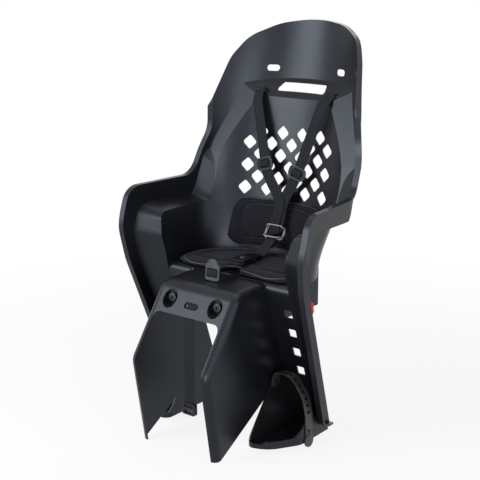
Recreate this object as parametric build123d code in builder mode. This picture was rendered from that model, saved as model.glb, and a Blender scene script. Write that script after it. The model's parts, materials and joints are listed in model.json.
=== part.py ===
from build123d import *
from math import asin, cos, radians, sin, tan
import os

os.makedirs("parts", exist_ok=True)

# Child seat for a bicycle rack. The child faces -Y, +X is the child's left, +Z is up.
# The origin is the middle of the clamp base's underside, where it sits on the rack.

# Shell heights
seat_z = 84.0
ledge_z = 187.0
armrest_z = 243.0
wing_base_z = 300.0
panel_top_z = 420.0
shelf_z = 396.0
headrest_z = 570.0
shield_foot_z = -212.0
# Shell half widths
tub_half = 161.0
tub_taper = 9.0
tub_depth = 115.0
shield_half = 188.0
armrest_half = 218.0
armrest_rear_half = 197.0
shoulder_half = 184.0
headrest_half = 157.0
# Shell depths
seat_front_y = -115.0
ledge_front_y = -129.0
ledge_rear_y = 34.0
back_foot_y = 67.0
rim_front_y = -178.0
shield_foot_y = -52.0
wing_foot_y = 24.0
wing_y = 68.0
bevel_knee_y = 62.0
shelf_y = 105.0
headrest_y = 175.0
# Shell form
wall = 3.5
recline = 9.7
headrest_radius = 214.0
calf_slope = 19.3
ledge_slope = 18.0
seat_lip = 14.0
shelf_slope = 37.0
shelf_bow = 463.0
rim_width = 9.0
rim_wall = 4.0
# Saddle and fins
fin_half = 97.0
fin_lip = 16.0
saddle_y = -195.0
saddle_z = 80.0
knee_y = -293.0
knee_z = -59.0
tip_y = -262.0
tip_z = -238.0
fin_rear_z = -112.0
arch_half = 82.0
arch_z = 27.0
# Cut-outs
lattice_z = 219.0
lattice_rows = 6
lattice_pitch_x = 49.0
lattice_pitch_z = 23.6
diamond_side = 23.0
diamond_corner = 5.5
strap_slot_x = 87.0
strap_slot_run = 30.5
hand_slot_half = 60.0
hand_slot_z = 429.0
head_hole_x = 85.0
head_hole_z = 465.0
step_hole_x = 140.0
step_hole = 18.0
step_pitch = 43.0
step_top_z = 26.0
step_count = 4
front_slot_z = 46.0
crotch_slot_y = -153.5
# Fasteners
bolt_d = 8.0
bolt_x = 56.0
bolt_z = 51.0
bolt_head_d = 18.0
bolt_head = 7.0
recess_d = 33.0
recess_y = -203.0
recess_floor = 4.0
nut_flat = 13.0
nut_height = 6.5
screw_d = 5.0
screw_x = 70.0
screw_y = 40.0
screw_middle_y = -10.0
hole_play = 0.3
# Webbing
webbing_w = 25.0
webbing_t = 1.8
slot_play = 4.0
gap = 0.3
strap_meet_x = 6.0
strap_tail = 16.0
strap_stand = 8.0
strap_return = 24.0
strap_plug = 10.0
ring_w = 48.0
ring_h = 30.0
ring_wire = 4.0
ring_y = 52.0
ring_z = 138.0
ring_tilt = 33.0
adjuster_w = 42.0
adjuster_h = 27.0
adjuster_t = 3.0
ladder_w = 34.0
ladder_h = 42.0
ladder_lift = 38.0
crotch_rise = 9.0
safety_foot_z = -162.0
slider_h = 24.0
# Buckle
buckle_y = -58.0
buckle_w = 32.0
buckle_length = 38.0
buckle_t = 12.0
tongue_length = 26.0
prong_depth = 24.0
prong_t = 2.6
button_w = 12.0
button_l = 12.0
button_shift = 4.0
button_proud = 1.8
# Pads
seat_pad_t = 11.0
back_pad_t = 8.0
pad_margin = 4.0
pad_front_y = -104.0
pad_corner = 55.0
pad_notch = 30.0
back_pad_half = 114.0
back_pad_height = 103.0
back_pad_lift = 3.0
# Clamp
rail_d = 12.0
rail_x = 65.0
base_half = 105.0
base_rear_y = 60.0
base_front_y = -77.0
base_wall = 4.0
spindle_d = 8.0
spindle_y = -50.0
spindle_z = 27.0
jaw_length = 40.0
jaw_travel = 12.0
jaw_leg = 10.0
jaw_nut = 26.0
jaw_height = 30.0
rail_play = 0.05
knob_lobes = 6
knob_d = 36.0
knob_x = 125.0
knob_length = 34.0
# Footrests
sole_z = -228.0
sole_t = 4.0
cup_wall = 3.0
cup_inner_x = 102.0
cup_outer_x = 186.0
toe_y = -186.0
cheek_y = -112.0
cup_height = 130.0
cup_back = 4.0
cup_inner_edge = ((-200, 6), (-172, 10), (-84, 124), (60, 128))
cup_outer_edge = ((-200, 14), (-125, 16), (-95, 42), (60, 50))
strap_holes = 8
strap_hole_first = 0.24
strap_hole_step = 0.07
peg_d = 6.0
peg_inner_lift = 106.0
peg_outer_lift = 22.0
foot_strap_y = -88.0
foot_strap_w = 22.0
foot_strap_t = 2.6

# Farther out than any face of the shell
reach = 300.0
# Handle length of a cubic curve that follows a quarter of an ellipse
round_ratio = 0.5523


def back_y(z):
    """Middle of the back panel's front face at height z."""
    return back_foot_y + (z - seat_z) * tan(radians(recline))


def calf_y(z):
    """Front face of the calf wall at height z."""
    return seat_front_y + (seat_z - z) * tan(radians(calf_slope))


def u_section(z, half, depth, rear_y, grow):
    """Plan section of a tub: half an ellipse behind two side walls."""
    wide, deep, side_y = half + grow, depth + grow, rear_y - depth
    with BuildSketch(Plane.XY.offset(z)) as section:
        with BuildLine():
            Polyline((wide, side_y), (wide, -reach), (-wide, -reach), (-wide, side_y))
            for side in (1, -1):
                Bezier(
                    (side * wide, side_y), (side * wide, side_y + round_ratio * deep),
                    (side * wide * round_ratio, side_y + deep), (0, side_y + deep))
        make_face()
    return section.sketch


def envelope(grow):
    """Room between the shields, the armrests, the wings and the headrest's sides."""
    plan = ((armrest_half + 4, -reach), (armrest_half + 1, rim_front_y), (armrest_rear_half, wing_foot_y),
            (shoulder_half + 4, wing_y), (shoulder_half + 2, reach))
    front = ((shield_half, -reach), (shield_half, shield_foot_z), (armrest_half - 5, seat_z + 30),
             (armrest_half + 4, armrest_z), (armrest_half + 4, wing_base_z))
    with BuildPart() as room:
        with BuildSketch(Plane.XY.offset(wing_base_z)):
            with BuildLine():
                right = [(x + grow, y) for x, y in plan]
                left = [(-x - grow, y) for x, y in reversed(plan)]
                Polyline(*right, *left, close=True)
            make_face()
        extrude(amount=-2 * reach)
        with BuildSketch(Plane.XZ):
            with BuildLine():
                right = [(x + grow, z) for x, z in front]
                left = [(-x - grow, z) for x, z in reversed(front)]
                Polyline(*right, *left, close=True)
            make_face()
        extrude(amount=reach, both=True, mode=Mode.INTERSECT)
        rise = (headrest_z + 60 - wing_base_z) / 2
        head_half = headrest_half * 1.21
        head_depth = head_half ** 2 / headrest_radius
        loft(sections=[
            u_section(wing_base_z, shoulder_half + 7, 90, back_y(wing_base_z) + 32, grow),
            u_section(wing_base_z + rise, head_half, head_depth, headrest_y, grow),
            u_section(wing_base_z + 2 * rise, head_half, head_depth,
                      headrest_y + rise * tan(radians(recline)), grow)])
    return room.part


# The strap shelf is a shallow trough that climbs backwards
shelf_way = Vector(0, cos(radians(shelf_slope)), sin(radians(shelf_slope)))
shelf_up = Vector(0, -sin(radians(shelf_slope)), cos(radians(shelf_slope)))


def front_room(grow):
    """Side view of what lies in front of the wing bevels, the strap shelf and the headrest."""
    with BuildPart() as room:
        with BuildSketch(Plane.YZ):
            with BuildLine():
                lean = (shelf_y - bevel_knee_y) / (shelf_z - wing_base_z + 10)
                FilletPolyline(
                    (-reach, -reach), (ledge_rear_y, -reach), (ledge_rear_y, ledge_z),
                    (bevel_knee_y, wing_base_z - 10), (shelf_y + reach * lean, shelf_z + reach),
                    (-reach, shelf_z + reach),
                    radius=(0, 0, 0, 120, 0, 0), close=True)
            make_face()
            if grow:
                offset(amount=grow, kind=Kind.INTERSECTION)
        extrude(amount=reach, both=True)
        with BuildSketch(Plane(origin=(0, shelf_y, shelf_z), x_dir=(1, 0, 0), z_dir=shelf_way)):
            with Locations((0, -shelf_bow)):
                Circle(shelf_bow + grow)
        extrude(amount=2 * reach, both=True)
    return room.part


def tub_room(grow):
    """Room inside the seat tub and in front of the back panel."""
    step = (panel_top_z - seat_z) / 4
    shape = ((tub_half - tub_taper, tub_depth), (tub_half, 95), (tub_half + 17, 85), (tub_half + 19, 90),
             (tub_half + 19, 90))
    with BuildPart() as room:
        loft(sections=[
            u_section(seat_z + i * step, half, depth, back_y(seat_z + i * step), grow)
            for i, (half, depth) in enumerate(shape)])
        extrude(room.faces().sort_by(Axis.Z)[0], amount=30)
        with BuildSketch(Plane.YZ):
            with BuildLine():
                FilletPolyline(
                    (reach, -reach), (calf_y(-reach), -reach), (seat_front_y, seat_z), (reach, seat_z),
                    radius=(0, 0, seat_lip, 0), close=True)
            make_face()
            if grow:
                offset(amount=-grow)
        extrude(amount=reach, both=True, mode=Mode.SUBTRACT)
    return room.part


def ledge_fill(grow):
    """What stands behind the calf wall and under the armrest ledges."""
    with BuildPart() as fill:
        for start, run, taper in ((tub_half - 3, 90, -ledge_slope), (0, tub_half - 2, 0)):
            with BuildSketch(Plane.YZ.offset(start)):
                with BuildLine():
                    FilletPolyline(
                        (reach, -reach), (calf_y(-reach), -reach), (seat_front_y, seat_z),
                        (ledge_front_y, ledge_z - 45), (ledge_front_y + 14, ledge_z),
                        (ledge_rear_y - 4, ledge_z), (bevel_knee_y + 2, wing_base_z - 15),
                        (reach, wing_base_z - 15),
                        radius=(0, 0, 40, 30, 22, 22, 0, 0), close=True)
                make_face()
                if grow:
                    offset(amount=-grow)
            extrude(amount=run, taper=taper)
        mirror(about=Plane.YZ)
    return fill.part


def shell_room(grow):
    """Everything in front of the shell's wall."""
    sides, front, fill, tub = envelope(grow), front_room(grow), ledge_fill(grow), tub_room(grow)
    with BuildPart() as room:
        add(sides)
        add(front, mode=Mode.INTERSECT)
        add(fill, mode=Mode.SUBTRACT)
        add(tub)
    return room.part


def outline(inset):
    """Side outline of the rim, crossed with the front outline of the headrest."""
    with BuildPart() as body:
        with BuildSketch(Plane.YZ):
            with BuildLine():
                FilletPolyline(
                    (reach, shield_foot_z), (shield_foot_y, shield_foot_z), (rim_front_y + 14, seat_z + 6),
                    (rim_front_y, seat_z + 76), (rim_front_y + 24, armrest_z - 2), (wing_foot_y, armrest_z),
                    (wing_y, armrest_z + 92), (wing_y - 2, armrest_z + 157),
                    (wing_y + 27, panel_top_z + 78), (wing_y + 42, headrest_z + 50), (reach, headrest_z + 50),
                    radius=(0, 30, 150, 70, 40, 40, 80, 60, 60, 0, 0), close=True)
            make_face()
            if inset:
                offset(amount=-inset)
        extrude(amount=reach, both=True)
        with BuildSketch(Plane.XZ):
            with BuildLine():
                half = ((reach, -reach), (reach, armrest_z), (headrest_half + 21, panel_top_z - 17),
                        (headrest_half, headrest_z - 80), (headrest_half - 24, headrest_z - 38),
                        (headrest_half - 77, headrest_z - 12))
                FilletPolyline(
                    *half, (0, headrest_z), *[(-x, z) for x, z in reversed(half)],
                    radius=(0, 0, 60, 90, 60, 120, 300, 120, 60, 90, 60, 0, 0), close=True)
            make_face()
            if inset:
                offset(amount=-inset)
        extrude(amount=reach, both=True, mode=Mode.INTERSECT)
    return body.part


def saddle_block(inset, lip):
    """Saddle and fins as one block with rounded front edges, longer than they are behind and below."""
    below = tip_z - 60
    with BuildPart() as block:
        with BuildSketch(Plane.YZ):
            with BuildLine():
                lean = (tip_y - knee_y) / (tip_z - knee_z)
                FilletPolyline(
                    (reach, below), (tip_y + (below - tip_z) * lean, below), (knee_y, knee_z),
                    (saddle_y, saddle_z), (seat_front_y + 35, seat_z - wall / 2), (reach, seat_z - wall / 2),
                    radius=(0, 0, 30, 32, 0, 0), close=True)
            make_face()
            if inset:
                offset(amount=-inset)
        extrude(amount=fin_half - inset, both=True)
        skin = block.faces().filter_by(Axis.X).edges()
        front = skin.filter_by(lambda e: e.center().Y < reach / 2 and e.center().Z > below + 2 * wall)
        fillet(front.filter_by(lambda e: e.center().Y < 0), radius=lip)
    return block.part


saddle_outer = saddle_block(0, fin_lip)
saddle_inner = saddle_block(wall, fin_lip - wall)
with BuildPart() as saddle_room:
    add(saddle_inner)
    with BuildSketch(Plane.XZ.offset(-recess_y - recess_floor)):
        with Locations((-bolt_x, bolt_z), (bolt_x, bolt_z)):
            Circle(recess_d / 2 + wall)
    extrude(amount=60, mode=Mode.SUBTRACT)

with BuildPart() as saddle:
    add(saddle_outer)
    add(saddle_room.part, mode=Mode.SUBTRACT)
    with BuildSketch(Plane.YZ):
        with BuildLine():
            FilletPolyline(
                (seat_front_y + 35, seat_z + 10), (knee_y - 20, seat_z + 10), (knee_y - 20, tip_z),
                (tip_y + 8, tip_z), (calf_y(fin_rear_z) + 2 * wall, fin_rear_z),
                (calf_y(seat_z - 20) + 2 * wall, seat_z - 20), (seat_front_y + 35, seat_z - 20),
                radius=(0, 0, 0, 24, 0, 0, 0), close=True)
        make_face()
    extrude(amount=reach, both=True, mode=Mode.INTERSECT)
    with BuildSketch(Plane.XZ.offset(-seat_front_y)):
        with Locations((0, arch_z)):
            RectangleRounded(2 * arch_half, 700, 14, align=(Align.CENTER, Align.MAX))
    extrude(amount=reach, mode=Mode.SUBTRACT)
    with BuildSketch(Plane.XZ.offset(-recess_y)):
        with Locations((-bolt_x, bolt_z), (bolt_x, bolt_z)):
            Circle(recess_d / 2)
    extrude(amount=80, mode=Mode.SUBTRACT)
    with BuildSketch(Plane.XZ.offset(-recess_y - 2 * recess_floor)):
        with Locations((-bolt_x, bolt_z), (bolt_x, bolt_z)):
            Circle(bolt_d / 2 + hole_play)
        with Locations((0, front_slot_z)):
            SlotOverall(webbing_w + 9, 11)
    extrude(amount=80, mode=Mode.SUBTRACT)
    with BuildSketch(Plane.XY.offset(seat_z + 10)):
        with Locations((0, crotch_slot_y)):
            Rectangle(webbing_w + slot_play, webbing_t + 2 * slot_play)
    extrude(amount=-30, mode=Mode.SUBTRACT)

outer_room = shell_room(wall)
inner_room = shell_room(0)
outline_body = outline(0)
rim_outer = envelope(wall + rim_width)
rim_inner = envelope(0)
outline_core = outline(rim_wall)
with BuildPart() as rim:
    add(rim_outer)
    add(rim_inner, mode=Mode.SUBTRACT)
    add(outline_body, mode=Mode.INTERSECT)
    add(outline_core, mode=Mode.SUBTRACT)
    with Locations((0, -20, shield_foot_z - 10)):
        Box(2 * reach, reach + 20, ledge_z - shield_foot_z, mode=Mode.SUBTRACT,
            align=(Align.CENTER, Align.MIN, Align.MIN))
    with Locations((0, headrest_y + 60, armrest_z)):
        Box(2 * reach, reach, 2 * reach, mode=Mode.SUBTRACT, align=(Align.CENTER, Align.MIN, Align.CENTER))

strap_slot_planes = []
for side in (1, -1):
    bow = asin(strap_slot_x / shelf_bow)
    point = Vector(side * strap_slot_x, shelf_y, shelf_z) + shelf_way * strap_slot_run
    point += shelf_up * shelf_bow * (1 - cos(bow))
    lift = shelf_up * cos(bow) - Vector(side * sin(bow), 0, 0)
    strap_slot_planes.append(Plane(origin=point, x_dir=shelf_way.cross(lift), z_dir=lift))

with BuildPart() as seat_shell:
    add(outer_room)
    add(inner_room, mode=Mode.SUBTRACT)
    add(outline_body, mode=Mode.INTERSECT)
    add(rim.part)
    with Locations((0, seat_front_y - 50, seat_z - 1.4 * wall)):
        Box(2 * fin_half - wall, 280, 600, mode=Mode.SUBTRACT, align=(Align.CENTER, Align.MIN, Align.MAX))
    add(saddle.part)
    with BuildSketch(Plane.XZ.offset(-shelf_y + 80)):
        for row in range(lattice_rows):
            columns = 5 - row % 2
            with Locations((0, lattice_z + row * lattice_pitch_z)):
                with GridLocations(lattice_pitch_x, 1, columns, 1):
                    RectangleRounded(diamond_side, diamond_side, diamond_corner, rotation=45)
    extrude(amount=-120, mode=Mode.SUBTRACT)
    with BuildSketch(Plane.XZ.offset(-shelf_y)):
        with Locations((-head_hole_x, head_hole_z), (head_hole_x, head_hole_z)):
            SlotOverall(27, 13)
        with BuildLine():
            FilletPolyline(
                (-hand_slot_half - 2, hand_slot_z - 8), (hand_slot_half + 2, hand_slot_z - 8),
                (hand_slot_half - 6, hand_slot_z + 8), (6 - hand_slot_half, hand_slot_z + 8),
                radius=4, close=True)
        make_face()
    extrude(amount=-reach, mode=Mode.SUBTRACT)
    for plane in strap_slot_planes:
        with BuildSketch(plane):
            RectangleRounded(webbing_w + 2 * slot_play, webbing_t + 2 * slot_play, slot_play)
        extrude(amount=15, both=True, mode=Mode.SUBTRACT)
    with BuildSketch(Plane.XZ.offset(-seat_front_y + 60)):
        for step in range(step_count):
            with Locations((-step_hole_x, step_top_z - step * step_pitch),
                           (step_hole_x, step_top_z - step * step_pitch)):
                RectangleRounded(step_hole, step_hole, 2)
    extrude(amount=-200, mode=Mode.SUBTRACT)
    with BuildSketch(Plane.XY.offset(seat_z + 5)):
        with Locations((0, screw_middle_y)):
            with GridLocations(2 * screw_x, 2 * screw_y, 2, 2):
                Circle(screw_d / 2 + hole_play / 2)
    extrude(amount=-12, mode=Mode.SUBTRACT)
seat_shell.part.label = "seat_shell"
export_step(seat_shell.part, "parts/seat_shell.step")


def strap_plane(start, end):
    """Side view of a flat strap that runs straight from start to end, with its back on +y."""
    along = (end - start).normalized()
    across = (Vector(1, 0, 0) - along * along.X).normalized()
    return Plane(origin=start, x_dir=along, z_dir=across)


# Pads
pad_floor = seat_z + gap
pad_top = pad_floor + seat_pad_t
with BuildPart() as seat_pad:
    add(u_section(pad_floor, tub_half - tub_taper, tub_depth, back_y(seat_z), -pad_margin))
    extrude(amount=seat_pad_t)
    with BuildSketch(Plane.XY.offset(pad_floor)):
        with Locations((0, pad_front_y)):
            RectangleRounded(2 * tub_half, 2 * reach, pad_corner, align=(Align.CENTER, Align.MIN))
            SlotOverall(2 * pad_notch, webbing_w + 4 * slot_play, rotation=90, mode=Mode.SUBTRACT)
    extrude(amount=seat_pad_t, mode=Mode.INTERSECT)
    fillet(seat_pad.faces().sort_by(Axis.Z)[-1].edges(), radius=4)
seat_pad.part.label = "seat_pad"
export_step(seat_pad.part, "parts/seat_pad.step")

pad_back_room = tub_room(-gap)
pad_front_room = tub_room(-gap - back_pad_t)
with BuildPart() as back_pad:
    with BuildSketch(Plane.XZ):
        with Locations((0, pad_top + back_pad_lift)):
            RectangleRounded(2 * back_pad_half, back_pad_height, 30, align=(Align.CENTER, Align.MIN))
    extrude(amount=-reach)
    add(pad_back_room, mode=Mode.INTERSECT)
    add(pad_front_room, mode=Mode.SUBTRACT)
back_pad.part.label = "back_pad"
export_step(back_pad.part, "parts/back_pad.step")

# Harness ring, tilted between the shoulder straps above it and the lap strap below it
ring_down = Vector(0, -sin(radians(ring_tilt)), -cos(radians(ring_tilt)))
ring_middle = Vector(0, ring_y, ring_z)
ring_arm = ring_down * ((ring_h - ring_wire) / 2)
with BuildPart() as harness_ring:
    with BuildSketch(Plane(origin=ring_middle, x_dir=(1, 0, 0), z_dir=ring_down.cross(Vector(1, 0, 0)))):
        RectangleRounded(ring_w, ring_h, 2 * ring_wire)
        RectangleRounded(ring_w - 2 * ring_wire, ring_h - 2 * ring_wire, ring_wire, mode=Mode.SUBTRACT)
    extrude(amount=ring_wire / 2, both=True)
    flats = harness_ring.faces().filter_by(GeomType.PLANE).sort_by(SortBy.AREA)[-2:]
    fillet(flats.edges(), radius=ring_wire / 2 - gap)
harness_ring.part.label = "harness_ring"
export_step(harness_ring.part, "parts/harness_ring.step")

# Shoulder straps: through the shelf, down in front of the back, round the ring's top bar
ring_loop = ring_wire / 2 + 3 * gap + webbing_t / 2
for side, name, share in ((1, "left", 0.55), (-1, "right", 0.51)):
    loop = ring_loop if side > 0 else ring_loop + webbing_t + 3 * gap
    slot = strap_slot_planes[0 if side > 0 else 1].origin
    bar = ring_middle - ring_arm + Vector(side * strap_meet_x, 0, 0)
    edge_z = slot.Z - strap_slot_run * shelf_way.Z
    edge_x = slot.X + (bar.X - slot.X) * (slot.Z - edge_z) / (slot.Z - bar.Z)
    edge = Vector(edge_x, shelf_y, edge_z) + Vector(0, -1, 0.4) * strap_stand
    plane = strap_plane(edge, bar)
    run = plane.to_local_coords(bar).X
    tail = plane.to_local_coords(slot - shelf_up * strap_tail)
    lift = plane.to_local_coords(slot + shelf_up * strap_stand)
    skew = webbing_w / 2 * abs(plane.x_dir.X) / plane.z_dir.X
    turn = run + loop + (skew if side > 0 else 3 * skew)
    bend = 0.9 * loop
    with BuildPart() as shoulder_strap:
        with BuildSketch(plane):
            with BuildLine():
                FilletPolyline(
                    (tail.X, tail.Y), (lift.X, lift.Y), (0, 0), (turn, -loop), (turn, loop),
                    (run - strap_return, loop), radius=(4, 25, bend, bend))
            trace(line_width=webbing_t)
        extrude(amount=webbing_w / 2, both=True)
    shoulder_strap.part.label = f"shoulder_strap_{name}"
    export_step(shoulder_strap.part, f"parts/shoulder_strap_{name}.step")

    # Three-bar adjuster that lies on the strap
    at = run * share
    face = plane.from_local_coords(Vector(at, -loop * share - webbing_t / 2 - 2 * gap, 0))
    with BuildPart() as strap_adjuster:
        with BuildSketch(Plane(origin=face, x_dir=plane.z_dir, z_dir=-plane.y_dir)):
            RectangleRounded(adjuster_w, adjuster_h, 10)
            with GridLocations(1, adjuster_h / 2 - 2, 1, 2):
                RectangleRounded(webbing_w + 2 * gap, adjuster_h / 4, 2, mode=Mode.SUBTRACT)
        extrude(amount=adjuster_t)
    strap_adjuster.part.label = f"strap_adjuster_{name}"
    export_step(strap_adjuster.part, f"parts/strap_adjuster_{name}.step")

# Buckle: the tongue's two arms plug into the body, and a button on the body lets them go
buckle_z = pad_top + gap + buckle_t / 2
prong_half = buckle_w / 2 - 2.5 * cup_wall + 2
with BuildPart() as buckle_body:
    with Locations((0, buckle_y, buckle_z)):
        Box(buckle_w, buckle_length, buckle_t)
        fillet(buckle_body.edges().filter_by(Axis.Z), radius=6)
        fillet(buckle_body.faces().sort_by(Axis.Z)[-1].edges(), radius=2)
    with Locations((0, buckle_y + buckle_length / 2, buckle_z)):
        Box(2 * prong_half + 2 * gap, 2 * prong_depth, 2 * prong_t + 2 * gap, mode=Mode.SUBTRACT)
    with Locations((0, buckle_y - buckle_length / 2, buckle_z)):
        Box(webbing_w + 2 * gap, 2 * strap_plug + 2 * gap, webbing_t + 2 * gap, mode=Mode.SUBTRACT)
    with Locations((0, buckle_y + button_shift, buckle_z)):
        Box(button_w + 2 * gap, button_l + 2 * gap, buckle_t, mode=Mode.SUBTRACT,
            align=(Align.CENTER, Align.CENTER, Align.MIN))
buckle_body.part.label = "buckle_body"
export_step(buckle_body.part, "parts/buckle_body.step")

with BuildPart() as buckle_tongue:
    with Locations((0, buckle_y + buckle_length / 2 + gap, buckle_z)):
        Box(buckle_w, tongue_length, buckle_t - 3, align=(Align.CENTER, Align.MIN, Align.CENTER))
        fillet(buckle_tongue.edges().filter_by(Axis.Z), radius=5)
        Box(2 * prong_half, 2 * prong_depth - 4 * gap, 2 * prong_t)
        Box(button_w + 6 * gap, 2 * prong_depth, buckle_t, mode=Mode.SUBTRACT,
            align=(Align.CENTER, Align.MAX, Align.CENTER))
    with Locations((0, buckle_y + buckle_length / 2 + gap + tongue_length, buckle_z)):
        Box(webbing_w + 2 * gap, 2 * strap_plug + 2 * gap, webbing_t + 2 * gap, mode=Mode.SUBTRACT)
buckle_tongue.part.label = "buckle_tongue"
export_step(buckle_tongue.part, "parts/buckle_tongue.step")

with BuildPart() as buckle_button:
    with Locations((0, buckle_y + button_shift, buckle_z + prong_t)):
        Box(button_w, button_l, buckle_t / 2 - prong_t + button_proud,
            align=(Align.CENTER, Align.CENTER, Align.MIN))
    fillet(buckle_button.faces().sort_by(Axis.Z)[-1].edges(), radius=1)
buckle_button.part.label = "buckle_button"
export_step(buckle_button.part, "parts/buckle_button.step")

# Lap strap: from the ring's lower bar to the tongue
tongue_rear_y = buckle_y + buckle_length / 2 + gap + tongue_length
plug_y = tongue_rear_y - strap_plug
lap_plane = strap_plane(ring_middle + ring_arm, Vector(0, tongue_rear_y + 14, buckle_z))
lap_knee = lap_plane.to_local_coords(Vector(0, tongue_rear_y + 14, buckle_z))
lap_end = lap_plane.to_local_coords(Vector(0, plug_y, buckle_z))
lap_bend = 0.9 * ring_loop
with BuildPart() as lap_strap:
    with BuildSketch(lap_plane):
        with BuildLine():
            FilletPolyline(
                (strap_return, ring_loop), (-ring_loop, ring_loop), (-ring_loop, -ring_loop),
                (lap_knee.X, lap_knee.Y), (lap_end.X, lap_end.Y),
                radius=(lap_bend, lap_bend, 12))
        trace(line_width=webbing_t)
    extrude(amount=webbing_w / 2, both=True)
lap_strap.part.label = "lap_strap"
export_step(lap_strap.part, "parts/lap_strap.step")

# Crotch strap: up through the saddle, over a fold, back to the buckle
crotch_top_z = buckle_z + crotch_rise
with BuildPart() as crotch_strap:
    with BuildSketch(Plane.YZ):
        with BuildLine():
            FilletPolyline(
                (buckle_y - buckle_length / 2 + strap_plug, buckle_z), (pad_front_y + 8, buckle_z),
                (pad_front_y - 10, crotch_top_z), (crotch_slot_y + 4, crotch_top_z),
                (crotch_slot_y, seat_z - 18),
                radius=(12, 10, 10))
        trace(line_width=webbing_t)
    extrude(amount=webbing_w / 2, both=True)
crotch_strap.part.label = "crotch_strap"
export_step(crotch_strap.part, "parts/crotch_strap.step")

with BuildPart() as crotch_adjuster:
    lean = Vector(0, 4, crotch_top_z - seat_z + 18).normalized()
    front = lean.cross(Vector(1, 0, 0))
    at = Vector(0, crotch_slot_y, seat_z - 18) + lean * ladder_lift - front * (webbing_t / 2 + gap)
    with BuildSketch(Plane(origin=at, x_dir=(1, 0, 0), z_dir=-front)):
        with BuildLine():
            half, tall = ladder_w / 2, ladder_h / 2
            FilletPolyline(
                (-half, -tall), (half, -tall), (half, tall - 12), (6, tall), (-6, tall), (-half, tall - 12),
                radius=4, close=True)
        make_face()
        with Locations((0, -tall + 9), (0, -tall + 21)):
            RectangleRounded(webbing_w + 2 * gap, 6, 2, mode=Mode.SUBTRACT)
    extrude(amount=adjuster_t)
crotch_adjuster.part.label = "crotch_adjuster"
export_step(crotch_adjuster.part, "parts/crotch_adjuster.step")

# Safety strap: behind the slot in the saddle's front, then hanging in the tunnel
front_run = Vector(0, knee_y - saddle_y, knee_z - saddle_z).normalized()
front_in = Vector(0, -front_run.Z, front_run.Y)
front_foot = Vector(0, saddle_y, saddle_z)


def behind_front(z, depth):
    """Point under the saddle's sloping front, at height z on its face and depth behind it."""
    return front_foot + front_run * ((z - saddle_z) / front_run.Z) + front_in * depth


strap_depth = wall + gap + webbing_t / 2
strap_head = behind_front(front_slot_z + 20, strap_depth)
strap_drop = behind_front(arch_z + 3, strap_depth)
with BuildPart() as safety_strap:
    with BuildSketch(Plane.YZ):
        with BuildLine():
            FilletPolyline(
                (strap_head.Y, strap_head.Z), (strap_drop.Y, strap_drop.Z), (strap_drop.Y, safety_foot_z),
                radius=30)
        trace(line_width=webbing_t)
    extrude(amount=webbing_w / 2, both=True)
safety_strap.part.label = "safety_strap"
export_step(safety_strap.part, "parts/safety_strap.step")

with BuildPart() as safety_strap_slider:
    with Locations((0, strap_drop.Y, safety_foot_z)):
        Box(webbing_w + 7, 8, slider_h)
        fillet(safety_strap_slider.edges().filter_by(Axis.Y), radius=4)
        Box(webbing_w + 2 * gap, webbing_t + 2 * gap, slider_h, mode=Mode.SUBTRACT)
        with Locations((0, 0, slider_h / 4), (0, 0, -slider_h / 4)):
            Box(webbing_w - 4, 8, slider_h / 5, mode=Mode.SUBTRACT)
safety_strap_slider.part.label = "safety_strap_slider"
export_step(safety_strap_slider.part, "parts/safety_strap_slider.step")

# Anchor plates that keep the straps from pulling through the shell
anchor_planes = [
    Plane(origin=plane.origin - plane.z_dir * (wall + gap), x_dir=plane.x_dir, z_dir=-plane.z_dir)
    for plane in strap_slot_planes]
crotch_under = saddle_z - wall + (crotch_slot_y - saddle_y) * 0.015 - gap
anchor_planes.append(Plane(origin=(0, crotch_slot_y, crotch_under), x_dir=(1, 0, 0), z_dir=(0, 0, -1)))
with BuildPart() as strap_anchors:
    for plane in anchor_planes:
        with BuildSketch(plane):
            RectangleRounded(webbing_w + 18, 17, 4)
            RectangleRounded(webbing_w + 2 * slot_play, webbing_t + 2 * slot_play, 2, mode=Mode.SUBTRACT)
        extrude(amount=3)
    with BuildSketch(Plane(origin=behind_front(front_slot_z, strap_depth + webbing_t / 2 + gap),
                           x_dir=(1, 0, 0), z_dir=front_in)):
        RectangleRounded(webbing_w + 18, 17, 4)
    extrude(amount=3)
strap_anchors.part.label = "strap_anchors"
export_step(strap_anchors.part, "parts/strap_anchors.step")

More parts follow.
